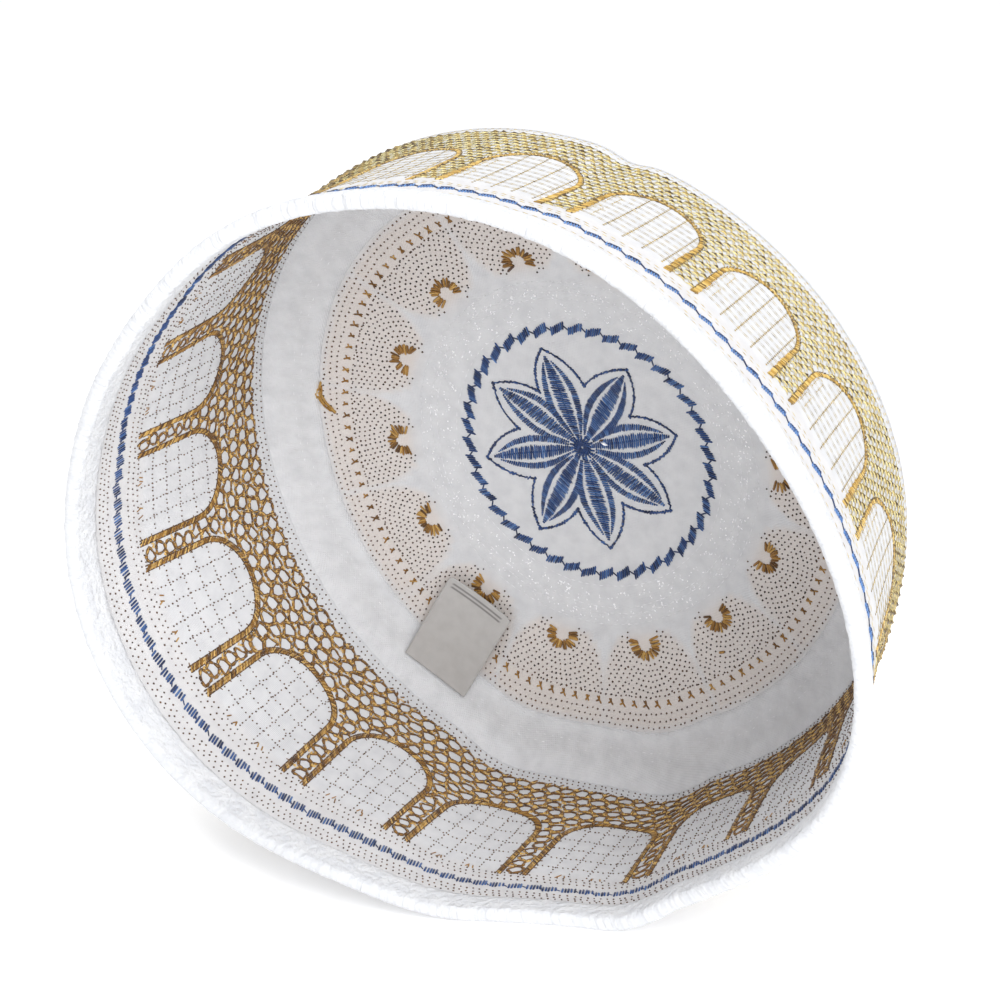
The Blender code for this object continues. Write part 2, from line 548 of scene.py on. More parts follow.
@dataclass
class Finishes:
    """Every material of the cap, made once."""

    cotton: bpy.types.Material = field(
        default_factory=ClothFinish(
            "white_cotton", (0.765, 0.77, 0.785), (0.69, 0.695, 0.715), (0.77, 0.69, 0.635)
        ).material
    )
    plush: bpy.types.Material = field(
        default_factory=ClothFinish(
            "plush_tape", (0.82, 0.83, 0.85), (0.73, 0.745, 0.78), (0.9, 0.9, 0.9),
            yarn=0.0006, weave=0.0, bump=0.9, deep=0.0006, roughness=0.95, sheen=0.25,
        ).material
    )
    lining: bpy.types.Material = field(
        default_factory=ClothFinish(
            "lining_cotton", (0.765, 0.77, 0.79), (0.68, 0.685, 0.705), (0.8, 0.8, 0.8),
            yarn=0.0005, weave=0.4, bump=0.6, deep=0.0002, roughness=0.8,
        ).material
    )
    satin: bpy.types.Material = field(
        default_factory=ClothFinish(
            "label_satin", (0.52, 0.505, 0.49), (0.47, 0.455, 0.44), (0.14, 0.13, 0.13),
            yarn=0.0003, bump=0.15, roughness=0.5,
        ).material
    )
    gold: bpy.types.Material = field(
        default_factory=ThreadFinish(
            "gold_thread", (0.06, 0.020, 0.003), (0.37, 0.178, 0.024), (0.90, 0.60, 0.19)
        ).material
    )
    bright_gold: bpy.types.Material = field(
        default_factory=ThreadFinish(
            "bright_gold_thread", (0.12, 0.055, 0.008), (0.60, 0.36, 0.065), (0.90, 0.68, 0.24)
        ).material
    )
    pale_gold: bpy.types.Material = field(
        default_factory=ThreadFinish(
            "pale_gold_thread", (0.07, 0.038, 0.008), (0.64, 0.47, 0.15), (0.95, 0.84, 0.42)
        ).material
    )
    # Dark brown thread of the real dots; it also sews the dark lines that paint shade in the inner net
    # and along the satin.
    dark: bpy.types.Material = field(
        default_factory=ThreadFinish(
            "dark_thread_and_painted_shade", (0.016, 0.008, 0.004), (0.125, 0.053, 0.012), (0.26, 0.13, 0.035), 0.6
        ).material
    )
    blue: bpy.types.Material = field(
        default_factory=ThreadFinish(
            "blue_thread", (0.006, 0.016, 0.065), (0.024, 0.078, 0.255), (0.14, 0.30, 0.64)
        ).material
    )
    white: bpy.types.Material = field(
        default_factory=ThreadFinish(
            "white_thread", (0.50, 0.50, 0.52), (0.72, 0.72, 0.74), (0.98, 0.98, 1.0), 0.2,
            # The white thread glows a little: a painted highlight on its rings, glints and tape
            # stitches.
            painted_glow=0.30,
        ).material
    )


def mesh_of(name: str, points: np.ndarray, faces: np.ndarray) -> bpy.types.Mesh:
    """Mesh from arrays of points and of faces with equal numbers of corners.

    Args:
        name: name of the mesh.
        points: rows of x, y and z.
        faces: rows of point numbers.

    Returns:
        The smooth-shaded mesh.
    """
    mesh = bpy.data.meshes.new(name)
    corners = faces.shape[1]
    mesh.vertices.add(len(points))
    mesh.vertices.foreach_set("co", points.ravel())
    mesh.loops.add(faces.size)
    mesh.loops.foreach_set("vertex_index", faces.ravel())
    mesh.polygons.add(len(faces))
    mesh.polygons.foreach_set("loop_start", np.arange(0, faces.size, corners))
    mesh.update(calc_edges=True)
    smooth(mesh)
    return mesh


def mesh_from(name: str, form: bmesh.types.BMesh) -> bpy.types.Mesh:
    """Mesh of a bmesh, which is freed.

    Args:
        name: name of the mesh.
        form: the bmesh.

    Returns:
        The mesh.
    """
    mesh = bpy.data.meshes.new(name)
    form.to_mesh(mesh)
    form.free()
    return mesh


def order_faces(form: bmesh.types.BMesh) -> None:
    """Put the faces of a bmesh in an order that is the same in every run.

    Args:
        form: the bmesh.
    """
    form.verts.index_update()
    step = 4 * len(form.verts)

    def place(face: bmesh.types.BMFace) -> int:
        """Number that only one face has, from its corners."""
        corners = [vertex.index for vertex in face.verts]
        return min(corners) * step + sum(corners)

    form.faces.sort(key=place)


def smooth(mesh: bpy.types.Mesh) -> None:
    """Shade every face smoothly."""
    mesh.polygons.foreach_set("use_smooth", np.ones(len(mesh.polygons), dtype=bool))


def corners_of(mesh: bpy.types.Mesh) -> np.ndarray:
    """Point number of every corner of the mesh's faces.

    Args:
        mesh: the mesh.

    Returns:
        One point number for each corner.
    """
    corners = np.empty(len(mesh.loops), dtype=np.int32)
    mesh.loops.foreach_get("vertex_index", corners)
    return corners


def add_map(mesh: bpy.types.Mesh, name: str, spots: np.ndarray) -> None:
    """Add a map with the place of every corner of the mesh's faces."""
    mesh.uv_layers.new(name=name).uv.foreach_set("vector", spots.ravel().astype(np.float32))


def paint(mesh: bpy.types.Mesh, name: str, values: np.ndarray) -> None:
    """Give every point of a mesh a value that its material reads."""
    layer = mesh.attributes.new(name, "FLOAT", "POINT")
    layer.data.foreach_set("value", values.astype(np.float32))


def add_object(name: str, data: bpy.types.ID) -> bpy.types.Object:
    """Add an object to the scene.

    Args:
        name: name of the object.
        data: its mesh, light or camera.

    Returns:
        The object.
    """
    made = bpy.data.objects.new(name, data)
    bpy.context.scene.collection.objects.link(made)
    return made


def add_piece(
    name: str, mesh: bpy.types.Mesh, material: bpy.types.Material
) -> bpy.types.Object:
    """Add a mesh to the scene as a piece of the cap.

    Args:
        name: name of the piece.
        mesh: its mesh.
        material: its material.

    Returns:
        The piece.
    """
    mesh.materials.append(material)
    piece = add_object(name, mesh)
    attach(piece, "root")
    return piece


@dataclass(frozen=True)
class StitchForm:
    """A small closed form that each stitch of a thread copies, one unit long and wide."""

    points: np.ndarray
    faces: np.ndarray

    @classmethod
    def from_bmesh(cls, form: bmesh.types.BMesh) -> "StitchForm":
        """Read a form from a bmesh and free it.

        Args:
            form: a closed bmesh.

        Returns:
            The form.
        """
        bmesh.ops.triangulate(form, faces=form.faces)
        bmesh.ops.recalc_face_normals(form, faces=form.faces)
        form.verts.index_update()
        points = np.array([vertex.co for vertex in form.verts])
        faces = np.array([[vertex.index for vertex in face.verts] for face in form.faces])
        form.free()
        return cls(points, faces)

    @staticmethod
    def lying_ball(rings: int) -> bmesh.types.BMesh:
        """A four-sided ball of one unit with its poles at its ends.

        Args:
            rings: number of bands from pole to pole.

        Returns:
            The bmesh.
        """
        form = bmesh.new()
        bmesh.ops.create_uvsphere(form, u_segments=4, v_segments=rings, radius=0.5)
        turn = Matrix.Rotation(math.pi / 2, 3, "Y")
        bmesh.ops.rotate(form, verts=form.verts, cent=(0, 0, 0), matrix=turn)
        return form

    @classmethod
    def strand(cls) -> "StitchForm":
        """A rounded strand of sixteen faces, blunt at its ends.

        Returns:
            The form.
        """
        form = cls.lying_ball(3)
        body = [vertex for vertex in form.verts if abs(vertex.co.x) < 0.45]
        bmesh.ops.scale(form, vec=(1.45, 1.15, 1.15), verts=body)
        return cls.from_bmesh(form)

    @classmethod
    def spindle(cls) -> "StitchForm":
        """A plain strand of eight faces for the finest threads."""
        return cls.from_bmesh(cls.lying_ball(2))

    @classmethod
    def dot(cls) -> "StitchForm":
        """A short blunt knot.

        Returns:
            The form.
        """
        form = bmesh.new()
        bmesh.ops.create_cone(
            form, cap_ends=True, segments=4, radius1=0.62, radius2=0.42, depth=1.0
        )
        return cls.from_bmesh(form)


@dataclass(frozen=True)
class Kit:
    """What every embroidery shares: the worn shape, the finishes and the stitch forms."""

    shape: WornShape
    finishes: Finishes
    strand: StitchForm
    spindle: StitchForm
    dot: StitchForm


def resample(line: np.ndarray, pitch: float) -> tuple[np.ndarray, np.ndarray]:
    """Even steps along a line.

    Args:
        line: chart points of the line.
        pitch: the length of a step.

    Returns:
        Points along the line and their unit directions.
    """
    steps = np.linalg.norm(np.diff(line, axis=0), axis=1)
    run = np.concatenate(([0.0], np.cumsum(steps)))
    count = max(2, int(round(run[-1] / pitch)) + 1)
    at = np.linspace(0.0, run[-1], count)
    points = np.stack([np.interp(at, run, line[:, axis]) for axis in (0, 1)], axis=-1)
    heading = np.gradient(points, axis=0)
    heading /= np.maximum(np.linalg.norm(heading, axis=1, keepdims=True), 1e-9)
    return points, heading


def sideways(heading: np.ndarray) -> np.ndarray:
    """Directions a quarter turn to the left."""
    return rows_of(-heading[..., 1], heading[..., 0])


def beside(line: np.ndarray, distance: float) -> np.ndarray:
    """The line moved to its left by a distance."""
    points, heading = resample(line, 0.0009)
    return points + sideways(heading) * distance


@dataclass
class Thread:
    """Stitches of one thread on one face of one chart."""

    name: str
    chart: Chart
    side: Side
    finish: bpy.types.Material
    form: StitchForm
    shape: WornShape
    seed: int
    slot: str = "cap_cotton"
    ground: float = 0.0
    sunk: float = 0.3
    uneven: float = 0.2
    tone_spread: float = 0.10
    rows: list = field(default_factory=list)

    def __post_init__(self) -> None:
        """Start the thread's own random numbers."""
        self.random = np.random.default_rng(self.seed)

    def sew(
        self,
        start: np.ndarray,
        end: np.ndarray,
        width: float | np.ndarray,
        tone: float | np.ndarray = 0.5,
        thick: float = 0.00028,
    ) -> None:
        """Add stitches.

        Args:
            start: chart points where the stitches begin.
            end: chart points where they end.
            width: width of each stitch.
            tone: colour place from dark to light.
            thick: height over the cloth.
        """
        start, end = np.atleast_2d(start), np.atleast_2d(end)
        values = [np.broadcast_to(value, len(start)) for value in (width, thick, tone)]
        self.rows.append(np.concatenate([start, end, rows_of(*values)], axis=1))

    def dots(self, centres: np.ndarray, size: float, tone: float) -> None:
        """Add blunt knots at chart points, each of its own size."""
        half = self.random.uniform(0.42, 0.58, (len(centres), 1)) * (size, 0.0)
        self.sew(centres - half, centres + half, 2 * half[:, 0], tone, 0.00030)

    def satin(
        self, line: np.ndarray, width: float | tuple | np.ndarray, pitch: float, yarn: float,
        tone: float, lean: float, thick: float, ragged: float, shade: float,
    ) -> None:
        """Sew stitches across a line, side by side.

        Args:
            line: chart points of the line.
            width: width of the satin line, or values along it.
            pitch: distance between stitches.
            yarn: width of one stitch.
            tone: colour place of the stitches.
            lean: how far each stitch leans along the line, as a part of its width.
            thick: height over the cloth.
            ragged: greatest part by which the reach of a stitch differs.
            shade: greatest difference of the colour place.
        """
        points, heading = resample(line, pitch)
        wide = np.asarray(width, dtype=float)
        if wide.ndim:
            wide = np.interp(np.linspace(0, 1, len(points)), np.linspace(0, 1, len(wide)), wide)
            wide = wide[:, None]
        low, high = self.random.uniform(1 - ragged, 1 + ragged, (2, len(points), 1))
        turn = lean + self.random.uniform(-0.6, 0.6, (len(points), 1)) * ragged
        reach = (sideways(heading) + turn * heading) * wide / 2
        tones = tone + self.random.uniform(-shade, shade, len(points))
        self.sew(points - reach * low, points + reach * high, yarn, tones, thick)

    def running(
        self, line: np.ndarray, pitch: float, fill: float, width: float, tone: float,
        thick: float = 0.0002,
    ) -> None:
        """Sew a running stitch along a line.

        Args:
            line: chart points of the line.
            pitch: distance between stitches.
            fill: part of the pitch that the thread shows.
            width: width of the thread.
            tone: colour place.
            thick: height over the cloth.
        """
        points, heading = resample(line, pitch)
        half = heading * pitch * fill / 2 * self.random.uniform(0.85, 1.1, (len(points), 1))
        self.sew(points - half, points + half, width, tone, thick)

    def piece(self) -> bpy.types.Object:
        """Copy the form to every stitch, lay the copies on the cap and add the piece.

        Returns:
            The piece.
        """
        rows = np.concatenate(self.rows)
        start, end = rows[:, None, 0:2], rows[:, None, 2:4]
        width, thick, tone = rows[:, 4, None], rows[:, 5, None], rows[:, 6]
        along = end - start
        length = np.maximum(np.linalg.norm(along, axis=-1, keepdims=True), 1e-6)
        across = sideways(along / length)
        local = self.form.points[None]
        middle = (start + end) / 2
        flat = middle + along * local[..., 0:1] + across * local[..., 1:2] * width[..., None]
        scatter = self.random.uniform(1 - self.uneven, 1 + self.uneven, (len(rows), 1))
        rise = (local[..., 2] + 0.5 - self.sunk) * thick * scatter
        lift = self.ground + self.shape.wall / 2 + rise
        points = self.shape.lay(self.chart, flat, lift * self.side.value)
        count = self.form.points.shape[0]
        faces = self.form.faces[None] + np.arange(len(rows))[:, None, None] * count
        faces = faces.reshape(-1, 3)
        if self.side is Side.OUTSIDE:
            faces = faces[:, ::-1]
        mesh = mesh_of(self.name, points.reshape(-1, 3), faces)
        tones = clamp(tone + self.random.normal(0.0, self.tone_spread, len(rows)))
        paint(mesh, "tone", np.repeat(tones, count))
        spots = rows_of(local[..., 0] * length[..., 0], local[..., 1] * width).reshape(-1, 2)
        add_map(mesh, "thread", spots[faces.ravel()])
        LOG.info("%s: %d stitches, %d triangles", self.name, len(rows), len(faces))
        return add_piece(self.name, mesh, self.finish)


@dataclass(frozen=True)
class ArchFrieze:
    """Row of arches round the wall, drawn on a chart whose first length runs round the rim."""

    shape: WornShape
    count: int = 18
    first_window: float = math.radians(142.9)
    foot: float = 0.0214
    spring: float = 0.0402
    apex: float = 0.0504
    half: float = 0.01285
    net_top: float = 0.0646

    @property
    def turn(self) -> float:
        """Chart length of the whole rim."""
        return math.tau * self.shape.rim_radius

    @property
    def pitch(self) -> float:
        """Chart length of one arch."""
        return self.turn / self.count

    def windows(self) -> np.ndarray:
        """Chart places of the middles of the windows."""
        return self.first_window * self.shape.rim_radius + self.pitch * np.arange(self.count)

    def from_window(self, first: np.ndarray) -> np.ndarray:
        """Signed distance of chart places to the middle of their window."""
        start = self.first_window * self.shape.rim_radius - self.pitch / 2
        return (first - start) % self.pitch - self.pitch / 2

    def arch(self, across: np.ndarray) -> np.ndarray:
        """Height of the arch over each distance from the window's middle."""
        part = clamp(1 - (np.abs(across) / self.half) ** 2.1)
        return self.spring + (self.apex - self.spring) * np.sqrt(part)

    def outline(self) -> np.ndarray:
        """Outline of one window from foot to foot, with its middle at zero.

        Returns:
            Chart points of the outline.
        """
        across = self.half * np.cos(np.linspace(math.pi, 0.0, 41))
        top = rows_of(across, self.arch(across))
        return np.concatenate(([(-self.half, self.foot)], top, [(self.half, self.foot)]))

    def is_open(self, points: np.ndarray, margin: float) -> np.ndarray:
        """Whether chart points lie in a window or within a margin of it.

        Args:
            points: chart points of the wall.
            margin: width of the margin.

        Returns:
            True for each point that lies there.
        """
        across = self.from_window(points[:, 0])
        inside = np.abs(across) < self.half + margin
        return inside & (points[:, 1] < self.arch(across * 0.94) + margin)

    def each(self, points: np.ndarray) -> np.ndarray:
        """Repeat chart points of one window at every window."""
        shift = rows_of(self.windows(), 0.0)
        return (points[None] + shift[:, None]).reshape(-1, 2)

    def ring(self, height: float, pitch: float, start: float = 0.0) -> np.ndarray:
        """Evenly spaced chart points round the wall at one height."""
        number = int(round(self.turn / pitch))
        return rows_of((np.arange(number) + start) * self.turn / number, height)


def wobble(points: np.ndarray, amount: float, seed: int) -> np.ndarray:
    """Move chart points a little at random, the same way each run."""
    return points + np.random.default_rng(seed).normal(0.0, amount, points.shape)


@dataclass
class Embroidery:
    kit: Kit
    side: Side
    chart: Chart = Chart.WALL
    threads: list = field(default_factory=list)

    def thread(
        self, name: str, finish: bpy.types.Material, form: StitchForm, seed: int
    ) -> Thread:
        """Take one more thread for this face.

        Args:
            name: name of the motif.
            finish: material of the thread.
            form: form of each stitch.
            seed: start of the thread's random numbers.

        Returns:
            The thread.
        """
        full = f"{name}_{self.side.name.lower()}"
        made = Thread(full, self.chart, self.side, finish, form, self.kit.shape, seed)
        self.threads.append(made)
        return made

    def sew_motifs(self) -> None:
        """Sew every motif of this face."""
        raise NotImplementedError

    def build(self) -> list:
        """Sew every motif of this face and add its pieces."""
        self.sew_motifs()
        return [thread.piece() for thread in self.threads]


@dataclass
class WallInside(Embroidery):
    """Embroidery on the inner face of the wall."""

    side: Side = Side.INSIDE
    cells: int = 135
    row: float = 0.0036
    satin_width: float = 0.00155
    # Dark running lines beside and under the satin: painted shade of the gaps between its stitches.
    satin_edges: tuple = (-0.00070, 0.0, 0.00070)
    opening: tuple = (
        (-1.9, 0.2), (-0.8, 1.2), (0.7, 1.35), (1.55, 0.5), (1.4, -0.85), (0.1, -1.35), (-1.1, -0.9)
    )
    column_cells: tuple = (0.0231, 0.0395, 0.0031)
    column_size: float = 0.88
    tips: tuple = ((-0.0016, 0.0007), (0.0, -0.0007), (0.0017, 0.0009))
    dotted_rows: tuple = (
        (0.0092, 0.0), (0.0104, 0.5), (0.0117, 0.2), (0.0182, 0.0),
        (0.0199, 0.5), (0.0213, 0.1), (0.0664, 0.3), (0.0680, 0.0),
    )
    dot_pitch: float = 0.00165
    grid_uprights: tuple = (-0.0071, -0.0024, 0.0024, 0.0071)
    grid_levels: tuple = (0.0264, 0.0310, 0.0356, 0.0404, 0.0456)
    grid_foot: float = 0.0226
    grid_margin: float = 0.0012
    ticks: tuple = (
        (-0.0056, 1), (-0.0044, 1), (-0.0031, -1), (0.0034, 1), (0.0046, -1), (0.0059, -1)
    )
    tick_foot: float = 0.0217
    blue_height: float = 0.0148
    block_pitch: float = 0.0044
    block_stroke: float = 0.00072

    def __post_init__(self) -> None:
        """Draw the frieze and take the threads."""
        kit, finishes = self.kit, self.kit.finishes
        self.frieze = ArchFrieze(kit.shape)
        self.gold = self.thread("arch_embroidery", finishes.gold, kit.strand, 11)
        self.net = self.thread("net_embroidery", finishes.gold, kit.spindle, 12)
        # Dark thread for painted shade: lines along and under the satin and edges round the net's
        # openings. It also sews the real loose ticks.
        self.dark_stitches_and_shade = self.thread("net_edges_and_painted_shade", finishes.dark, kit.strand, 15)
        self.spots = self.thread("dotted_stitches", finishes.dark, kit.dot, 13)
        self.blue = self.thread("blue_line", finishes.blue, kit.strand, 14)

    def sew_arches(self) -> None:
        """Sew the satin outlines of the windows, with dark lines beside and under them that paint the
        shade of their gaps, and loose ticks.
        """
        random = self.dark_stitches_and_shade.random
        for middle in self.frieze.windows():
            line = self.frieze.outline() + (middle, 0.0)
            self.gold.satin(
                line, self.satin_width, pitch=0.00052, yarn=0.00040,
                tone=0.48, lean=0.8, thick=0.0004, ragged=0.25, shade=0.42,
            )
            # Painted shade: dark lines beside the satin and one under it, which shows between its
            # stitches.
            for shift in self.satin_edges:
                self.dark_stitches_and_shade.running(
                    beside(line, shift), pitch=0.0014, fill=1.1, width=0.00038, tone=0.35, thick=0.0003
                )
            points, heading = resample(line, 0.0036)
            start = points - sideways(heading) * 0.0008
            lean = heading * random.uniform(-0.0004, 0.0004, (len(points), 1))
            reach = random.uniform(0.0003, 0.0010, (len(points), 1))
            end = start - sideways(heading) * reach + lean
            self.dark_stitches_and_shade.sew(start, end, width=0.0003, tone=0.6)

    def sew_net(self) -> None:
        """Sew the honeycomb over the arches and the single file of cells in each column."""
        frieze = self.frieze
        width = frieze.turn / self.cells
        rows = int((frieze.net_top - frieze.spring) / self.row) + 1
        for number in range(rows):
            height = frieze.net_top - self.row * (number + 0.5)
            middle = frieze.ring(height, width, 0.5 * (number % 2))
            middle = middle[~frieze.is_open(middle, -0.0008)]
            self.sew_cells(middle, 1.0)
            for sign in (-1, 1):
                knots = middle + (width / 2, sign * self.row / 3)
                self.sew_knots(knots[~frieze.is_open(knots, 0.0008)])
            if number == 0:
                self.sew_tips(middle)
        for index, height in enumerate(np.arange(*self.column_cells)):
            lean = 0.0004 * (-1) ** index
            middle = frieze.each(np.array([[frieze.pitch / 2 + lean, height]]))
            self.sew_cells(middle, self.column_size)
            self.sew_knots(middle + (-5 * lean, 0.00145))

    def sew_cells(self, middle: np.ndarray, size: float) -> None:
        """Sew the web round openings: a dark edge that paints the shade of the deep gap, and a gold
        ring for each.

        Args:
            middle: chart points of the middles of the openings.
            size: size of the openings as a part of the usual one.
        """
        random = self.net.random
        corner = MM * np.array(self.opening)
        scale = size * random.uniform(0.90, 1.06, (len(middle), 1, 1))
        ring = corner * scale + random.normal(0.0, 0.00019, (len(middle), len(corner), 2))
        middle = wobble(middle, 0.00015, len(middle))[:, None]
        for thread, grow, width, tone, thick in (
            # Dark edge ring: painted shade where the openings are deep.
            (self.dark_stitches_and_shade, 1.09, 0.00028, 0.62, 0.00050),
            (self.net, 1.23, 0.00058, 0.50, 0.00044),
            (self.net, 1.43, 0.00076, 0.30, 0.00026),
        ):
            start = middle + ring * grow
            end = np.roll(start, -1, axis=1)
            reach = (end - start) * 0.07
            start, end = (start - reach).reshape(-1, 2), (end + reach).reshape(-1, 2)
            start_open = self.frieze.is_open(start, -0.0001)
            end_open = self.frieze.is_open(end, -0.0001)
            half = (start + end) / 2
            start = np.where((start_open & ~end_open)[:, None], half, start)
            end = np.where((end_open & ~start_open)[:, None], half, end)
            keep = ~(start_open & end_open) & (end[:, 1] > self.frieze.foot - 0.0004)
            tones = tone + random.uniform(-0.25, 0.25, len(start))
            thread.sew(start[keep], end[keep], width, tones[keep], thick)

    def sew_knots(self, places: np.ndarray) -> None:
        """Sew leaning stitches where the web is widest, in a light tone that paints their highlight.

        Args:
            places: chart points of the knots.
        """
        random = self.net.random
        for shift in (-0.0005, 0.0, 0.0005):
            turn = random.uniform(0.9, 2.2, len(places))
            reach = polar(random.uniform(0.0004, 0.0007, len(places)), turn)
            knot = places + (shift, 0.0) + random.normal(0.0, 0.0001, places.shape)
            # Tone 0.95 paints a highlight on the raised knots.
            self.net.sew(knot - reach, knot + reach, width=0.0005, tone=0.95, thick=0.00066)

    def sew_tips(self, middle: np.ndarray) -> None:
        """Sew the loose points at the edge of the net.

        Args:
            middle: chart points of the openings of the top row.
        """
        random = self.net.random
        for shift, lean in self.tips:
            tip = middle + (shift, 0.0014) + random.normal(0.0, 0.0002, middle.shape)
            self.net.sew(tip, tip + (lean, 0.0011), width=0.00042, tone=0.4)
            low, high = tip - (0.0003, 0.0), tip + (lean - 0.0003, 0.0012)
            self.dark_stitches_and_shade.sew(low, high, width=0.0003, tone=0.5)

    def sew_dots(self) -> None:
        """Sew the dotted rows under and over the net and the grids in the windows."""
        frieze = self.frieze
        for height, start in self.dotted_rows:
            row = frieze.ring(height, self.dot_pitch, start)
            self.spots.dots(wobble(row, 0.00012, int(height * 1e5)), size=0.00046, tone=0.3)
        grid = frieze.each(self.grid())
        self.spots.dots(wobble(grid, 0.00012, 33), size=0.00042, tone=0.35)

    def grid(self) -> np.ndarray:
        """Dots of the dotted grid in one window.

        Returns:
            Chart points with the middle of the window at zero.
        """
        frieze = self.frieze
        dots = []
        for across in self.grid_uprights:
            top = float(frieze.arch(np.array(across))) - self.grid_margin
            for height in np.arange(self.grid_foot, top, 0.00125):
                dots.append((across, height))
        for height in self.grid_levels:
            reach = frieze.half - self.grid_margin
            if height > frieze.spring:
                over = height + self.grid_margin - frieze.spring
                part = over / (frieze.apex - frieze.spring)
                reach = frieze.half * math.sqrt(max(0.0, 1 - part**2)) - 0.0004
            for across in np.arange(-reach, reach, 0.0013):
                dots.append((across, height))
        return np.array(dots)

    def sew_clusters(self) -> None:
        """Sew the small leaning stitches at the feet of the grid lines."""
        for across, lean in self.ticks:
            low = self.frieze.each(np.array([[across, self.tick_foot]]))
            low = wobble(low, 0.0003, int(5000 + across * 1e5))
            self.gold.sew(low, low + (lean * 0.0006, 0.0014), width=0.00038, tone=0.45)

    def sew_blue(self) -> None:
        """Sew the blue line of leaning blocks."""
        random = self.blue.random
        blocks = wobble(self.frieze.ring(self.blue_height, self.block_pitch), 0.00016, 7)
        for step in range(5):
            shift = (step - 2) * self.block_stroke
            centre = blocks + (shift, 0.20 * shift) + random.normal(0.0, 0.00006, blocks.shape)
            tall = 0.00130 - 0.00006 * abs(step - 2) + random.normal(0.0, 0.00012, len(blocks))
            reach = rows_of(-0.00035, tall)
            tones = 0.36 + random.uniform(-0.3, 0.3, len(blocks))
            self.blue.sew(centre - reach, centre + reach, width=0.00052, tone=tones, thick=0.0005)
        ahead = np.roll(blocks, -1, axis=0)[:-1] - (0.0018, 0.0006)
        self.blue.sew(blocks[:-1] + (0.0016, 0.0002), ahead, width=0.00035, tone=0.15)

    def sew_motifs(self) -> None:
        """Sew every motif of this face."""
        self.sew_arches()
        self.sew_net()
        self.sew_dots()
        self.sew_clusters()
        self.sew_blue()


